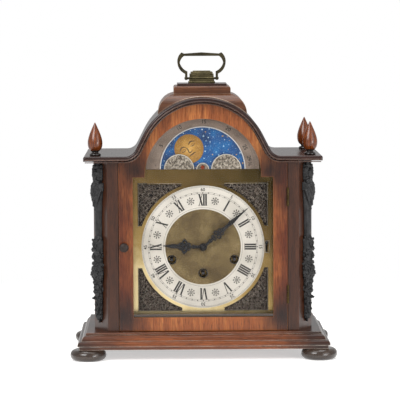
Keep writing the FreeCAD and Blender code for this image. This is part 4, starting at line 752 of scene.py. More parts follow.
FIGURE_RADIUS, FIGURE_HEIGHT = 75.9, 4.2
dot = added_block(0, 0, 0, 1.2, 0.1, 1.2, 0.35)
figures = []
for step in range(12):
    figures.append(printed_text(str(5 * step or 60), FIGURE_HEIGHT, clock_place(FIGURE_RADIUS, 30 * step)))
    figures.append(copied(dot, clock_place(TRACK_RADIUS, 30 * step)))
bpy.data.objects.remove(dot)
settle(joined(figures), "minute_figures", star_ink, "case")

# ---- Winding holes: turned bronze bushes let into the dial, blackened, each round a steel square.
# Each is a ring with a rounded rim that catches the light.
WINDING_PLACES = [(-41.5, DIAL_Z - 17), (41.5, DIAL_Z - 17), (0, DIAL_Z - 35)]
bush_bits = []
for x, z in WINDING_PLACES:
    bpy.ops.object.select_all(action="DESELECT")
    bpy.ops.mesh.primitive_torus_add(major_radius=5.4 * MM, minor_radius=0.95 * MM, major_segments=48,
                                     minor_segments=12, location=(x * MM, (DIAL_FACE - 0.1) * MM, z * MM),
                                     rotation=(math.radians(90), 0, 0))
    bush_bits.append(bpy.context.object)
black_bush = worked_metal("blackened_bronze_bush", "#34302a", "#16130f", 0.3, metallic=0.6)
settle(joined(bush_bits), "winding_bushes", black_bush, "case")

# ---- Moon dial arch: a silvered half ring screwed round the moon opening, printed with the days of the moon.
# It is duller than the chapter ring, and a pale highlight is painted along its inner rim.
MOON_Z = 248.4
ARCH_RADIUS, ARCH_WIDTH, ARCH_DEPTH = 64.9, 19.4, 0.7
ARCH_FACE = DIAL_FACE - ARCH_DEPTH
ARCH_HIGHLIGHT_RIM = 56.3


def silvered_arch():
    """Greyed silvering with a painted pale highlight along its inner rim, and two printed lines."""
    material = new_material("greyed_silver_arch")
    radius = radius_on_dial(material, MOON_Z)
    inner, outer = [add_node(material, "Math", {"operation": "COMPARE"}, {0: radius, 1: line_radius, 2: half_width})
                    for line_radius, half_width in ((58.0, 0.2), (68.4, 0.15))]
    ink = add_node(material, "Math", {"operation": "MAXIMUM"}, {0: inner, 1: outer})
    # painted highlight: a pale band along the arch's inner edge
    rim = add_node(material, "Math", {"operation": "LESS_THAN"}, {0: radius, 1: ARCH_HIGHLIGHT_RIM})
    cloud = add_node(material, "TexNoise",
                     inputs={"Vector": object_points(material, 0.06), "Scale": 1.0, "Detail": 4.0})
    silver = colour_steps(material, cloud, [(0.3, "#786a5f"), (0.5, "#8b7c70"), (0.7, "#9a8b7e")])
    bright = add_node(material, "Mix", {"data_type": "RGBA"}, {0: rim, 6: silver, 7: linear("#ccd2d6")})
    tone = add_node(material, "Mix", {"data_type": "RGBA"}, {0: ink, 6: bright, 7: linear("#6f665c")})
    shader = add_node(material, "BsdfPrincipled", inputs={"Base Color": tone, "Metallic": 0.3, "Roughness": 0.4})
    return surfaced(material, shader)


def half_ring(x, middle_radius, y, width, depth, rounding, segments, steps):
    """Upper half of a ring round x on the moon's centre line, spun from a rounded section, in millimetres."""
    bpy.ops.object.select_all(action="DESELECT")
    bpy.ops.mesh.primitive_plane_add(size=1, location=(0, 0, 0))
    ring = bpy.context.object
    bpy.ops.object.mode_set(mode="EDIT")
    bpy.ops.transform.resize(value=(width * MM, depth * MM, 1))
    bpy.ops.transform.translate(value=((x + middle_radius) * MM, y * MM, MOON_Z * MM))
    bpy.ops.mesh.bevel(offset=rounding * MM, segments=segments)
    bpy.ops.mesh.select_all(action="SELECT")
    bpy.ops.mesh.spin(steps=steps, angle=math.pi, center=(x * MM, 0, MOON_Z * MM), axis=(0, 1, 0))
    close_up(0.01)
    bpy.ops.object.mode_set(mode="OBJECT")
    return ring


moon_arch = half_ring(0, ARCH_RADIUS, DIAL_FACE - ARCH_DEPTH / 2, ARCH_WIDTH, ARCH_DEPTH, 0.15, 1, 96)
settle(moon_arch, "moon_arch_ring", silvered_arch(), "case")
# Each day of the moon has its words, its radius and its turn from the top in degrees.
MOON_DAYS = [("5", 62.6, -60), ("10", 62.6, -29.5), ("15", 62.6, 1.5), ("20", 62.6, 32.5), ("25", 62.6, 63),
             ("29", 62.6, 77), ("-", 62.6, -85), ("½", 62.4, 84)]
moon_days = [printed_text(words, 5.0, clock_place(radius, degrees, ARCH_FACE - 0.05, MOON_Z))
             for words, radius, degrees in MOON_DAYS]
settle(joined(moon_days), "moon_day_figures", star_ink, "case")

# ---- Moon disc: brass disc enamelled deep blue, with painted gilt and pale stars and two gilt moons.
# Only one moon shows at a time; the paint lies nearly flat, so that it clears the plate in front.
DISC_FACE = -50.9


def enamel_sky():
    """Blue enamel: brighter in clouds, with a soft gloss."""
    material = new_material("blue_enamel")
    cloud = add_node(material, "TexNoise",
                     inputs={"Vector": object_points(material, 0.07), "Scale": 1.0, "Detail": 4.0})
    tone = colour_steps(material, cloud, [(0.3, "#00305f"), (0.5, "#004884"), (0.7, "#0062a0")])
    shader = add_node(material, "BsdfPrincipled",
                      inputs={"Base Color": tone, "Roughness": 0.35, "Coat Weight": 0.3, "Coat Roughness": 0.1})
    return surfaced(material, shader)


def flat_paint(name, codes):
    """Brushed-on paint that varies over a few millimetres."""
    material = new_material(name)
    brush = add_node(material, "TexNoise",
                     inputs={"Vector": object_points(material, 0.35), "Scale": 1.0, "Detail": 3.0})
    tone = colour_steps(material, brush, list(zip((0.34, 0.5, 0.66), codes)))
    shader = add_node(material, "BsdfPrincipled", inputs={"Base Color": tone, "Roughness": 0.45})
    return surfaced(material, shader)


finish("moon_disc", enamel_sky())
MOON_SPOT = (-17.9, 26.7)
MOON_RADIUS = 19.4
moon_turns = [Matrix.Identity(4), Matrix.Rotation(math.pi, 4, "Y")]
disc_place = Matrix.Translation((0, DISC_FACE * MM, MOON_Z * MM))
# The stars lie within this reach of the disc's middle, clear of the moons and of one another.
SKY_REACH, STAR_CLEAR, STAR_APART, STAR_TRIES = 54, 1.8, 5.2, 2500
star_dice = random.Random(11)
gilt_stars = []
pale_stars = []
star_cross = joined([added_block(0, 0, 0, 1.9, 0.1, 0.42), added_block(0, 0, 0, 0.42, 0.1, 1.9),
                     added_block(0, 0, 0, 0.95, 0.1, 0.95, 0.2)])
places = []
moons = [(MOON_SPOT[0], MOON_SPOT[1]), (-MOON_SPOT[0], -MOON_SPOT[1])]
for _ in range(STAR_TRIES):
    reach = SKY_REACH * math.sqrt(star_dice.random())
    turn = star_dice.uniform(0, 2 * math.pi)
    x, z = reach * math.cos(turn), reach * math.sin(turn)
    if all(math.hypot(x - a, z - b) > MOON_RADIUS + STAR_CLEAR for a, b in moons) and \
            all(math.hypot(x - a, z - b) > STAR_APART for a, b in places):
        places.append((x, z))
for index, (x, z) in enumerate(places):
    size = star_dice.choice((0.55, 0.75, 1.0, 1.25))
    spot = disc_place @ Matrix.Translation((x * MM, -0.04 * MM, z * MM)) @ \
        Matrix.Rotation(star_dice.uniform(0, 1.5), 4, "Y") @ Matrix.Diagonal((size, 1, size, 1))
    (gilt_stars if index % 3 == 0 else pale_stars).append(copied(star_cross, spot))
bpy.data.objects.remove(star_cross)
settle(joined(gilt_stars), "gilt_stars", flat_paint("gilt_paint", ("#b08a3c", "#d9b35a", "#e8cd86")), "moon")
settle(joined(pale_stars), "pale_stars", flat_paint("pale_blue_paint", ("#7fc3e8", "#b5def2", "#e6f1f0")), "moon")


def gilt_moon_paint():
    """Moon gilding: warm yellow, more orange towards the rim."""
    material = new_material("gilt_moon_paint")
    place = add_node(material, "TexCoord")
    glow = None
    for sign in (1, -1):
        flat = add_node(material, "VectorMath", {"operation": "MULTIPLY_ADD"},
                        {0: place.outputs["Object"], 1: (1000, 0, 1000),
                         2: (-sign * MOON_SPOT[0], 0, -MOON_Z - sign * MOON_SPOT[1])})
        reach = add_node(material, "VectorMath", {"operation": "LENGTH"}, {0: flat})
        glow = reach if glow is None else add_node(material, "Math", {"operation": "MINIMUM"},
                                                   {0: glow, 1: reach})
    brush = add_node(material, "TexNoise",
                     inputs={"Vector": object_points(material, 0.16), "Scale": 1.0, "Detail": 4.0, "Roughness": 0.6})
    depth = add_node(material, "MapRange",
                     inputs={"Value": glow, "From Max": MOON_RADIUS, "To Min": 0.62, "To Max": 0.18})
    both = add_node(material, "Math", {"operation": "MULTIPLY_ADD"}, {0: brush, 1: 0.55, 2: depth})
    shift = add_node(material, "Math", {"operation": "SUBTRACT"}, {0: both, 1: 0.18})
    tone = colour_steps(material, shift, [(0.15, "#785829"), (0.4, "#9d7432"), (0.62, "#bd9248"), (0.85, "#dcb874")])
    shader = add_node(material, "BsdfPrincipled", inputs={"Base Color": tone, "Roughness": 0.4, "Metallic": 0.15})
    return surfaced(material, shader)


moon_discs = []
bpy.ops.object.select_all(action="DESELECT")
bpy.ops.mesh.primitive_cylinder_add(vertices=72, radius=MOON_RADIUS * MM, depth=0.16 * MM,
                                    rotation=(math.radians(90), 0, 0))
moon_blank = bpy.context.object
bpy.ops.object.transform_apply(rotation=True)
bpy.ops.object.mode_set(mode="EDIT")
bpy.ops.mesh.select_all(action="SELECT")
bpy.ops.mesh.bevel(offset=0.06 * MM, segments=1)
bpy.ops.object.mode_set(mode="OBJECT")
for turn in moon_turns:
    moon_discs.append(copied(moon_blank, disc_place @ turn @ Matrix.Translation(
        (MOON_SPOT[0] * MM, -0.08 * MM, MOON_SPOT[1] * MM))))
bpy.data.objects.remove(moon_blank)
settle(joined(moon_discs), "gilt_moons", gilt_moon_paint(), "moon")


def painted_line(points, width, matrix):
    """A brush line through the points (x, z in millimetres), flat on the plate."""
    curve = bpy.data.curves.new("brush_line", "CURVE")
    curve.dimensions = "3D"
    curve.bevel_depth = width / 2 * MM
    curve.bevel_resolution = 1
    curve.resolution_u = 6
    curve.use_fill_caps = True
    spline = curve.splines.new("NURBS")
    spline.points.add(len(points) - 1)
    for index, (point, (x, z)) in enumerate(zip(spline.points, points)):
        point.co = (x * MM, 0, z * MM, 1)
        point.radius = 0.45 if index in (0, len(points) - 1) else 1.0
    spline.use_endpoint_u = True
    spline.order_u = 3
    line = curve_mesh(curve)
    line.data.transform(matrix @ Matrix.Diagonal((1, 0.2, 1, 1)))
    return line


# The face is a calm one of the maker's own, on plain proportions: eyes on the middle line, nose and mouth below it.
# Each stroke has its points and width; those of the first two tables are drawn on both sides.
FACE_PAIRS = [([(2.6, 4.6), (5.0, 6.6), (8.6, 6.8), (12.0, 4.0)], 1.99),
              ([(3.6, 1.6), (6.8, -0.4), (10.4, 1.5)], 1.68)]
SHADE_PAIRS = [([(3.6, 2.2), (6.8, 4.0), (10.6, 2.0)], 2.10), ([(8.2, -3.0), (10.4, -5.6), (9.6, -9.0)], 2.73),
               ([(1.2, -4.6), (2.6, -4.0), (2.9, -2.8)], 1.68)]
FACE_SINGLES = [([(-2.6, 4.6), (-1.5, 2.0), (-1.9, -1.6), (-2.8, -3.9), (0, -5.4), (2.6, -4.2)], 1.57),
                ([(-5.2, -8.6), (-2.0, -7.9), (0, -8.4), (2.0, -7.9), (5.2, -8.6)], 1.78)]
SHADE_SINGLES = [([(-3.6, -10.0), (0, -11.2), (3.6, -10.0)], 2.31), ([(-3.6, -14.4), (0, -15.4), (3.6, -14.4)], 1.89)]
FACE_LEAN = -36
face_lines = []
shade_lines = []
for turn in moon_turns:
    face = disc_place @ turn @ Matrix.Translation((MOON_SPOT[0] * MM, -0.18 * MM, MOON_SPOT[1] * MM)) @ \
        Matrix.Rotation(math.radians(FACE_LEAN), 4, "Y")
    for lines, pairs, singles in ((face_lines, FACE_PAIRS, FACE_SINGLES), (shade_lines, SHADE_PAIRS, SHADE_SINGLES)):
        for points, width in pairs:
            for side in (-1, 1):
                lines.append(painted_line([(side * x, z) for x, z in points], width, face))
        for points, width in singles:
            lines.append(painted_line(points, width, face))
settle(joined(face_lines), "moon_features", flat_paint("umber_paint", ("#3c2f20", "#4e3d29", "#6b5537")), "moon")
settle(joined(shade_lines), "moon_shading", flat_paint("ochre_paint", ("#8a6530", "#a1773a", "#b88b49")), "moon")

# ---- Hemispheres and hub: the two half discs that hide the moon are etched all over like old maps.
# Each has a plain raised rim; the hub between them is a turned button round the disc's stud.
def etched_map():
    """Etched silver: dark lines and brown patches a millimetre or two wide on pale metal."""
    material = new_material("etched_silver_map")
    lands = add_node(material, "TexNoise",
                     inputs={"Vector": object_points(material, 0.3), "Scale": 1.0, "Detail": 4.0, "Roughness": 0.7})
    lines = add_node(material, "TexVoronoi", {"feature": "DISTANCE_TO_EDGE"},
                     {"Vector": object_points(material, 0.42), "Scale": 1.0})
    base = colour_steps(material, lands, [(0.36, "#4b443c"), (0.46, "#7b7265"), (0.54, "#aca394"), (0.66, "#cbc4b6")])
    etch = colour_steps(material, lines, [(0.0, "#3c352d"), (0.16, "#ffffff")])
    tone = add_node(material, "Mix", {"data_type": "RGBA", "blend_type": "MULTIPLY"}, {0: 0.75, 6: base, 7: etch})
    bump = add_node(material, "Bump", inputs={"Strength": 0.5, "Distance": 0.0003, "Height": lines})
    shader = add_node(material, "BsdfPrincipled",
                      inputs={"Base Color": tone, "Metallic": 0.3, "Roughness": 0.42, "Normal": bump})
    return surfaced(material, shader)


finish("hemispheres", etched_map())
bead_metal = worked_metal("rubbed_bead_edge", "#a59b89", "#6d6558", 0.36, metallic=0.6)
pale_rim = worked_metal("bright_silvered_rim", "#d5d2c8", "#b3afa3", 0.32, metallic=0.5, relief=0.02)
HALF_DISC_X, HALF_DISC_RIM, HUB_RIM = 31.1, 19.3, 7.9
rims = [half_ring(x, reach, DIAL_FACE - 1.1, 1.0, 0.5, 0.18, 2, 48)
        for x, reach in ((-HALF_DISC_X, HALF_DISC_RIM), (HALF_DISC_X, HALF_DISC_RIM), (0, HUB_RIM))]
settle(joined(rims), "hemisphere_rims", pale_rim, "case")

# ---- Dial furniture: a brass strip that hides the feet of the half discs, and the moon's red-gold screw.
# The strip is the dial's own brass; the lever's slot at the right has a small pale plate round it.
STRIP_PLACE, STRIP_SIZE = (0, DIAL_FACE - 1.65, 238.6), (147, 0.5, 19.6)
SCREW_Z = 251
LEVER_X, LEVER_Z = 84.9, 145.2
strip = added_block(*STRIP_PLACE, *STRIP_SIZE, 0.12)
settle(strip, "dial_strip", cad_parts["dial_plate"].data.materials[0], "case")
screw = turned_piece([(2.6, 0), (2.6, 0.4), (2.2, 0.8), (1.2, 1.1), (0.0, 1.2)], steps=24)
screw_place = Matrix.Translation((0, (DIAL_FACE - 1.9) * MM, SCREW_Z * MM))
screw.data.transform(screw_place @ Matrix.Rotation(math.pi / 2, 4, "X"))
slot_bar = added_block(0, DIAL_FACE - 3.05, SCREW_Z, 3.6, 0.24, 0.6)
settle(joined([screw, slot_bar]), "moon_screw", worked_metal("red_gold_screw", "#9c4a32", "#5d2a1e", 0.35), "case")
# The lever's plate is four bars round its slot.
plate_bits = [added_block(x, DIAL_FACE - 0.3, LEVER_Z, 1.0, 0.5, 15.4, 0.12) for x in (82.2, 87.6)]
plate_bits += [added_block(LEVER_X, DIAL_FACE - 0.3, z, 6.4, 0.5, 1.0, 0.12) for z in (137.4, 153.0)]
settle(joined(plate_bits), "lever_plate", bead_metal, "case")

# ---- Spandrels: cast corner pieces, pinned on, with scrolls a millimetre or two wide over a dark antiqued ground.
# The scrolls mirror across each corner's diagonal, and a row of small beads runs along both straight edges.
def cast_scrollwork():
    """Ground of the casting: antiqued nearly black, with fine chasing in the bump below the modelled scrolls, and
    painted light that makes it paler towards the bottom of the dial.
    """
    material = new_material("antiqued_scroll_casting")
    flow = add_node(material, "TexNoise", inputs={"Vector": object_points(material, [0.105, 0.02, 0.105]),
                                                  "Scale": 1.0, "Detail": 1.2, "Distortion": 0.9})
    line = add_node(material, "Math", {"operation": "MULTIPLY"}, {0: flow, 1: 15.0})
    line = add_node(material, "Math", {"operation": "PINGPONG"}, {0: line, 1: 0.5})
    ridge = add_node(material, "MapRange", {"interpolation_type": "SMOOTHSTEP"},
                     {"Value": line, "From Min": 0.14, "From Max": 0.42})
    leaf = add_node(material, "TexVoronoi", {"feature": "DISTANCE_TO_EDGE"},
                    {"Vector": object_points(material, [0.5, 0.1, 0.5]), "Scale": 1.0})
    cut = add_node(material, "MapRange",
                   inputs={"Value": leaf, "From Min": 0.02, "From Max": 0.16, "To Min": 0.25, "To Max": 1.0})
    ridge = add_node(material, "Math", {"operation": "MULTIPLY"}, {0: ridge, 1: cut})
    grain = add_node(material, "TexNoise",
                     inputs={"Vector": object_points(material, 1.1), "Scale": 1.0, "Detail": 3.0})
    relief = add_node(material, "Math", {"operation": "MULTIPLY_ADD"}, {0: grain, 1: 0.5, 2: ridge})
    place = add_node(material, "TexCoord")
    # painted light: the casting is made paler the further down the dial it sits
    painted_light_toward_bottom = add_node(material, "VectorMath", {"operation": "MULTIPLY_ADD"},
                     {0: place.outputs["Object"], 1: (0, 0, -1.6), 2: (0, 0, 0.24)})
    painted_light_toward_bottom = add_node(material, "SeparateXYZ", inputs={0: painted_light_toward_bottom})
    shown = add_node(material, "Math", {"operation": "ADD"}, {0: relief, 1: painted_light_toward_bottom.outputs["Z"]})
    tone = colour_steps(material, shown, [(0.3, "#060504"), (0.6, "#17120f"), (0.9, "#4a4038"), (1.0, "#7d7064")])
    bump = add_node(material, "Bump", inputs={"Strength": 0.9, "Distance": 0.0007, "Height": relief})
    shader = add_node(material, "BsdfPrincipled",
                      inputs={"Base Color": tone, "Metallic": 0.55, "Roughness": 0.4, "Normal": bump})
    return surfaced(material, shader)


finish("spandrels", cast_scrollwork())
bpy.ops.object.select_all(action="DESELECT")
bpy.ops.mesh.primitive_ico_sphere_add(subdivisions=1, radius=0.85 * MM)
bead = bpy.context.object
BEAD_ACROSS, BEAD_UP, BEAD_STEP = 85.2, 84.2, 2
bead_places = [(BEAD_ACROSS - BEAD_STEP * step, BEAD_UP) for step in range(29)]
bead_places += [(BEAD_ACROSS, BEAD_UP - BEAD_STEP * step) for step in range(1, 29)]
beads = [copied(bead, Matrix.Translation((side * x * MM, (DIAL_FACE - 1.6) * MM, (DIAL_Z + end * z) * MM)))
         for side in (-1, 1) for end in (-1, 1) for x, z in bead_places]
bpy.data.objects.remove(bead)
settle(joined(beads), "spandrel_beads", bead_metal, "case")
SCROLL_FOOT, SCROLL_CREST = DIAL_FACE - 1.55, DIAL_FACE - 2.1
# Scrolls stand this far apart, from the inner to the outer distance across, and outside the ring's arc.
SCROLL_GAP = 4.0
SCROLL_INNER, SCROLL_OUTER, SCROLL_ARC = 29.5, 82.2, 87.6


def skin_rows(mesh, rows):
    """Close a bar over its rows of points, with all faces outward."""
    for row, following in zip(rows, rows[1:]):
        for index in range(len(row)):
            after = (index + 1) % len(row)
            mesh.faces.new((row[index], row[after], following[after], following[index]))
    mesh.faces.new(rows[0])
    mesh.faces.new(rows[-1])
    bmesh.ops.recalc_face_normals(mesh, faces=mesh.faces)


def scroll_ridge(size_mm):
    """S-scroll of the casting: a ridge with a bud at each curled end, its foot on the plate's front."""
    arm = []
    for step in range(8):
        swing = math.radians(40 * step)
        reach = 1 - 0.085 * step
        arm.append((1 - reach * math.cos(swing), reach * math.sin(swing)))
    line = [(-x, -z) for x, z in arm[:0:-1]] + arm
    halves = [0.42, 0.22, 0.26, 0.3, 0.34, 0.37, 0.4]
    halves = halves + [0.42] + halves[::-1]
    mesh = bmesh.new()
    rows = []
    for index, ((x, z), half) in enumerate(zip(line, halves)):
        before, after = line[max(index - 1, 0)], line[min(index + 1, len(line) - 1)]
        along = Vector((after[0] - before[0], after[1] - before[1])).normalized() * half
        rows.append([mesh.verts.new((u * size_mm * MM, y * MM, v * size_mm * MM)) for u, y, v in
                     ((x - along.y, SCROLL_FOOT, z + along.x), (x, SCROLL_CREST, z),
                      (x + along.y, SCROLL_FOOT, z - along.x))])
    skin_rows(mesh, rows)
    piece = bpy.data.objects.new("scroll", bpy.data.meshes.new("scroll"))
    mesh.to_mesh(piece.data)
    mesh.free()
    scene.collection.objects.link(piece)
    return piece


scroll_dice = random.Random(7)
scroll = scroll_ridge(1.45)
scrolls = []
for row in range(18):
    for column in range(18):
        u = SCROLL_INNER + SCROLL_GAP * (column + 0.5 * (row % 2)) + scroll_dice.uniform(-0.4, 0.4)
        v = SCROLL_INNER + SCROLL_GAP * 0.87 * row + scroll_dice.uniform(-0.4, 0.4)
        turn = scroll_dice.uniform(0, math.pi)
        scale = scroll_dice.uniform(0.85, 1.2)
        if v > u or u > SCROLL_OUTER or math.hypot(u, v) < SCROLL_ARC:
            continue
        for right, up, lean in ((u, v, turn), (v, u, math.pi / 2 - turn)):
            for side in (-1, 1):
                for end in (-1, 1):
                    spot = (Matrix.Translation((0, 0, DIAL_Z * MM)) @ Matrix.Diagonal((side, 1, end, 1))
                            @ Matrix.Translation((right * MM, 0, up * MM)) @ Matrix.Rotation(lean, 4, "Y")
                            @ Matrix.Diagonal((scale, 1, scale, 1)))
                    scrolls.append(copied(scroll, spot))
bpy.data.objects.remove(scroll)
scrollwork = joined(scrolls)
bpy.ops.object.mode_set(mode="EDIT")
bpy.ops.mesh.select_all(action="SELECT")
bpy.ops.mesh.normals_make_consistent(inside=False)
bpy.ops.object.mode_set(mode="OBJECT")


def rubbed_scrolls():
    """The casting's high places: dark at the foot of each scroll, rubbed to pale metal along its crest."""
    material = new_material("rubbed_scroll_crests")
    place = add_node(material, "TexCoord")
    depth = add_node(material, "SeparateXYZ", inputs={0: place.outputs["Object"]})
    rise = add_node(material, "MapRange", inputs={"Value": depth.outputs["Y"], "From Min": (SCROLL_FOOT - 0.1) * MM,
                                                  "From Max": SCROLL_CREST * MM})
    wear = add_node(material, "TexNoise",
                    inputs={"Vector": object_points(material, 0.35), "Scale": 1.0, "Detail": 3.0})
    shown = add_node(material, "Math", {"operation": "MULTIPLY"}, {0: rise, 1: wear})
    tone = colour_steps(material, shown, [(0.05, "#0f0b09"), (0.2, "#4b413a"), (0.38, "#a3978a"), (0.55, "#d6cbbd")])
    shader = add_node(material, "BsdfPrincipled", inputs={"Base Color": tone, "Metallic": 0.55, "Roughness": 0.38})
    return surfaced(material, shader)


settle(scrollwork, "spandrel_scrolls", rubbed_scrolls(), "case")

# ---- Hands: pierced from blued sheet steel, filed to scrolls, each pushed on its own pipe.
# The openings are rings of metal side by side; the tip is a long tapering blade.
HAND_DEPTH = 0.86


def flat_ring(x, z, outer, band):
    """Flat ring in the plane of the dial, about (x, z) in millimetres."""
    bpy.ops.object.select_all(action="DESELECT")
    bpy.ops.mesh.primitive_torus_add(major_radius=(outer - band / 2) * MM, minor_radius=band / 2 * MM,
                                     major_segments=28, minor_segments=8, rotation=(math.pi / 2, 0, 0))
    ring = bpy.context.object
    bpy.ops.object.transform_apply(rotation=True)
    ring.data.transform(Matrix.Translation((x * MM, 0, z * MM)) @ Matrix.Diagonal((1, HAND_DEPTH / band, 1, 1)))
    bpy.ops.object.shade_smooth()
    return ring


def blade(points):
    """Blade along the hand: points of (height, half width) in millimetres, ridged a little along its middle."""
    front, back = -HAND_DEPTH / 2, HAND_DEPTH / 2
    piece = added_block(0, 0, 0, 1, HAND_DEPTH, 1)
    bpy.ops.object.mode_set(mode="EDIT")
    mesh = bmesh.from_edit_mesh(piece.data)
    mesh.clear()
    rows = []
    for height, half in points:
        rows.append([mesh.verts.new((x * half * MM, y * MM, height * MM)) for x, y in
                     ((-1, back), (-1, front / 2), (0, front), (1, front / 2), (1, back))])
    skin_rows(mesh, rows)
    bmesh.update_edit_mesh(piece.data)
    bpy.ops.object.mode_set(mode="OBJECT")
    return piece


# Each hand has its turn, its body, its blades, and its rings of (x, z, outer radius, width of metal).
# A ring that stands off the middle line has a twin on the other side.
HAND_PIECES = {
    "hour_hand": (-88, "hour", [[(3, 2.2), (9, 1.9), (14, 1.5), (18, 1.6)],
                                [(34, 1.2), (37, 3.0), (41, 2.7), (46, 1.6), (53, 0.35)]],
                  [(0, 0, 5.2, 3.2), (0, 12.5, 2.91, 1.94), (2.6, 19.2, 2.91, 2.27), (5.2, 24.6, 3.92, 2.75),
                   (0, 24.4, 3.36, 2.62), (8.6, 24.8, 1.68, 1.31), (2.4, 29.6, 2.91, 2.27), (0, 33.6, 3.02, 2.36)]),
    "minute_hand": (49, "minute", [[(3, 2.2), (10, 1.8), (17, 1.5), (22, 1.6)],
                                   [(24, 1.5), (40, 1.7), (44, 1.9), (48, 3.1), (53, 2.7), (60, 1.6), (78, 0.4)]],
                    [(0, 0, 5.0, 3.2), (0, 13, 2.8, 1.94), (1.9, 19, 2.58, 1.94), (3.2, 25.2, 3.36, 2.44),
                     (2.4, 31, 2.91, 2.11), (0, 36, 3.02, 2.36), (0, 41, 2.46, 1.92)]),
}
for node, (degrees, body, blades, rings) in HAND_PIECES.items():
    bits = [blade(points) for points in blades]
    bits += [flat_ring(side * x, z, outer, band) for x, z, outer, band in rings for side in ((-1, 1) if x else (1,))]
    low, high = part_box(node)
    hand = joined(bits)
    hand.data.transform(Matrix.Translation((0, (low[1] + high[1]) / 2, DIAL_Z * MM))
                        @ Matrix.Rotation(math.radians(degrees), 4, "Y"))
    settle(hand, "pierced_" + node, blued_steel, body)
    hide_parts(node)

# ---- Corner mounts: cast herms pinned to the canted corners, blackened, with light only on the high points.
# Each is one casting: curly head, scrolled shoulders, draped body, plain shaft, bow, and a swag of flowers.
MOUNT_AXIS = Vector((-135.74, -55.18, 0))
OUTWARD = Vector((-0.871, -0.491, 0))
ALONG = Vector((-0.491, 0.871, 0))
MOUNT_FOOT = 45.8
CORE_SHARE = 0.84
CLAY_VOXEL = 0.55
# The core is the mount's own outline, (height, radius) above its foot, shrunk to carry the relief.
CORE = [(0, 0), (3, 4.2), (10, 6.2), (36, 8.4), (56, 9.2), (66, 12.4), (80, 10.4), (98, 10.4), (108, 11.9),
        (116, 7.7), (142, 8.4), (160, 9.9), (172, 12.4), (182, 11.7), (187, 8.2), (194, 10.4), (206, 10.4),
        (211, 6.2), (212.2, 0)]


def core_radius(height):
    """Radius of the shrunken core at a height above the foot of the mount."""
    for (low, near), (high, far) in zip(CORE, CORE[1:]):
        if low <= height <= high:
            return CORE_SHARE * (near + (far - near) * (height - low) / (high - low))
    return 0.0


def pressed(shape, height, degrees_round, out, size, tilt=0.0):
    """Copy of a lump on the core: size across, outward and up in mm, tilted in its own face."""
    angle = math.radians(degrees_round)
    radial = OUTWARD * math.cos(angle) + ALONG * math.sin(angle)
    across = OUTWARD * math.sin(angle) - ALONG * math.cos(angle)
    spot = MOUNT_AXIS + radial * (core_radius(height) + out) + Vector((0, 0, MOUNT_FOOT + height))
    facing = Matrix((across, -radial, Vector((0, 0, 1)))).transposed().to_4x4()
    return copied(shape, Matrix.Translation(spot * MM) @ facing @ Matrix.Rotation(math.radians(tilt), 4, "Y")
                  @ Matrix.Diagonal((size[0], size[1], size[2], 1)))


bpy.ops.object.select_all(action="DESELECT")
bpy.ops.mesh.primitive_ico_sphere_add(subdivisions=2, radius=1 * MM)
lump = bpy.context.object
bpy.ops.object.select_all(action="DESELECT")
bpy.ops.mesh.primitive_torus_add(major_radius=1 * MM, minor_radius=0.42 * MM, major_segments=14, minor_segments=6,
                                 rotation=(math.pi / 2, 0, 0))
curl = bpy.context.object
bpy.ops.object.transform_apply(rotation=True)
clay_dice = random.Random(5)
clay = []
# In the tables below a lump has its height, its turn round the core, how far out it stands, and its size.
# head: a face turned a little to the front, under rows of curls
for height, row in ((210, 4), (207, 6), (203, 8), (199, 8), (195, 8), (191, 7)):
    for step in range(row):
        turn = -96 + 192 * (step + 0.5 * (height % 2)) / (row - 0.5)
        if abs(turn + 22) < 34 and height < 204:
            continue
        size = clay_dice.uniform(1.5, 2.1)
        clay.append(pressed(curl, height, turn, 0.7, (size, 1.5, size), clay_dice.uniform(0, 90)))
        clay.append(pressed(lump, height, turn, 0.5, (0.8, 1.2, 0.8)))
for height, turn, out, size in (
        (198, -22, 0.8, (4.6, 2.4, 6.6)), (197.5, -22, 3.0, (0.8, 1.3, 2.4)), (195.6, -22, 3.3, (1.2, 1.2, 0.8)),
        (200.6, -36, 2.6, (1.9, 0.9, 0.5)), (200.6, -8, 2.6, (1.9, 0.9, 0.5)), (196.4, -38, 2.3, (1.7, 1.1, 1.6)),
        (196.4, -6, 2.3, (1.7, 1.1, 1.6)), (193.2, -22, 2.8, (1.5, 1.0, 0.55)), (191.9, -22, 2.7, (1.2, 1.0, 0.6)),
        (190.4, -22, 2.4, (1.5, 1.3, 1.2)), (188, -22, 0.6, (4.2, 3.4, 3.4))):
    clay.append(pressed(lump, height, turn, out, size))
# shoulders: a scroll at each side, then cloth falling across the body
for turn in (-78, 78):
    for reach, thick in ((4.2, 1.4), (2.6, 1.3), (1.0, 1.6)):
        clay.append(pressed(curl, 180.5, turn, 1.2, (reach, thick * 1.6, reach)))
for start, end, first, last, count, size in (
        (187, 160, -50, 44, 13, 1.9), (184, 156, -62, 20, 13, 1.6), (186, 166, -20, 66, 11, 1.8),
        (178, 150, -66, -8, 12, 1.5), (172, 150, 30, 74, 9, 1.6), (188, 170, 8, 80, 9, 1.6)):
    for step in range(count):
        share = step / (count - 1)
        clay.append(pressed(lump, start + (end - start) * share, first + (last - first) * share ** 1.4,
                            0.9 * (1 - share * 0.5), (size * (1 - 0.35 * share), 1.5, 2.4), -32))
for height, turn, size in ((176, -14, 4.0), (176, 22, 4.0), (170, 2, 4.4), (165, -40, 3.0), (164, 16, 3.2)):
    clay.append(pressed(lump, height, turn, -0.8, (size, 3.2, size * 1.25)))
# shaft: a raised fillet down its front
for turn in (-52, -14, 30):
    clay.append(pressed(lump, 131, turn, -0.3, (0.75, 0.9, 17)))
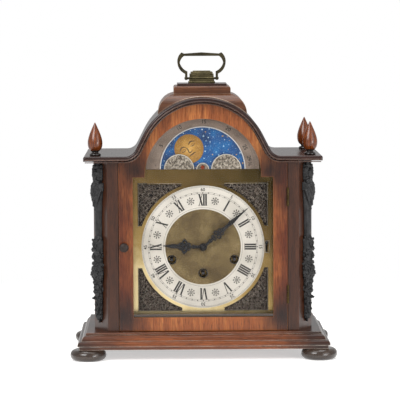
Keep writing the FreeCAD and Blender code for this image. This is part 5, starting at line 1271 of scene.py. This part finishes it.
# bow and band
for height, turn, tilt, size in ((110, -34, 60, (1.8, 1.6, 3.4)), (110, 6, -60, (1.8, 1.6, 3.4)),
                                 (104, -30, 25, (1.2, 1.3, 4.0)), (104, 2, -25, (1.2, 1.3, 4.0)),
                                 (110, -14, 0, (1.9, 2.4, 1.9)), (113, -70, 0, (2.2, 1.8, 2.2))):
    clay.append(pressed(lump, height, turn, 1.0, size, tilt))


def rosette(height, turn, reach, petals=6):
    """Flower with a round eye and a ring of petals."""
    parts = [pressed(lump, height, turn, 2.3, (reach * 0.36, 1.5, reach * 0.36))]
    for step in range(petals):
        angle = 2 * math.pi * step / petals
        parts.append(pressed(lump, height + 0.68 * reach * math.cos(angle),
                             turn + math.degrees(0.68 * reach * math.sin(angle) / max(core_radius(height) + 1, 4)),
                             1.3, (reach * 0.3, 1.5, reach * 0.44), -math.degrees(angle)))
    return parts


for height, turn, reach in ((93, -40, 3.6), (88, 8, 3.4), (84, -66, 2.8), (97, 36, 3.0), (66, -22, 5.2),
                            (64, 28, 4.2), (60, -62, 4.0), (54, 2, 3.4), (73, 2, 3.4), (72, -58, 3.2)):
    clay.extend(rosette(height, turn, reach))
for step in range(150):
    height = clay_dice.uniform(6, 100)
    turn = clay_dice.uniform(-88, 88)
    size = clay_dice.uniform(0.9, 1.7) * (0.75 if height < 40 else 1.0)
    clay.append(pressed(lump, height, turn, clay_dice.uniform(0.2, 1.4), (size, 1.3, size * clay_dice.uniform(1, 1.9)),
                        clay_dice.uniform(-70, 70)))
for height, turn, reach in ((46, -48, 2.7), (42, 6, 2.7), (36, -30, 2.5), (33, 24, 2.4), (28, -58, 2.3), (25, -8, 2.4),
                            (19, -38, 2.1), (17, 14, 2.0)):
    clay.extend(rosette(height, turn, reach, 5))
clay.append(pressed(lump, 33, 10, 3.0, (2.0, 2.4, 1.2), 40))
for turn in range(-80, 81, 32):
    clay.append(pressed(lump, 8, turn, 0.4, (1.6, 1.2, 4.2), 8))
clay.append(pressed(lump, 1.6, 0, 0, (1.3, 1.6, 1.8)))
bpy.ops.object.select_all(action="DESELECT")
core = copied(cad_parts["corner_mount_left"], Matrix.Translation(MOUNT_AXIS * MM)
              @ Matrix.Diagonal((CORE_SHARE, CORE_SHARE, 1, 1)) @ Matrix.Translation(-MOUNT_AXIS * MM))
herm = joined([core] + clay)
bpy.ops.object.mode_set(mode="EDIT")
close_up(0.001)
# the back stays flat on the canted face of the post
bpy.ops.mesh.bisect(plane_co=tuple(MOUNT_AXIS * MM), plane_no=tuple(OUTWARD), clear_inner=True, use_fill=True)
bpy.ops.object.mode_set(mode="OBJECT")
fuse = herm.modifiers.new("fuse", "REMESH")
fuse.mode = "VOXEL"
fuse.voxel_size = CLAY_VOXEL * MM
fuse.use_smooth_shade = True
ease = herm.modifiers.new("ease", "SMOOTH")
ease.factor = 0.5
ease.iterations = 1
for name in ("fuse", "ease"):
    bpy.ops.object.modifier_apply(modifier=name)
herm_right = copied(herm, Matrix.Diagonal((-1, 1, 1, 1)))
herm_right.data.flip_normals()
settle(herm, "herm_left", black_cast, "case")
settle(herm_right, "herm_right", black_cast, "case")
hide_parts("corner_mount_left")
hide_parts("corner_mount_right")
bpy.data.objects.remove(lump)
bpy.data.objects.remove(curl)
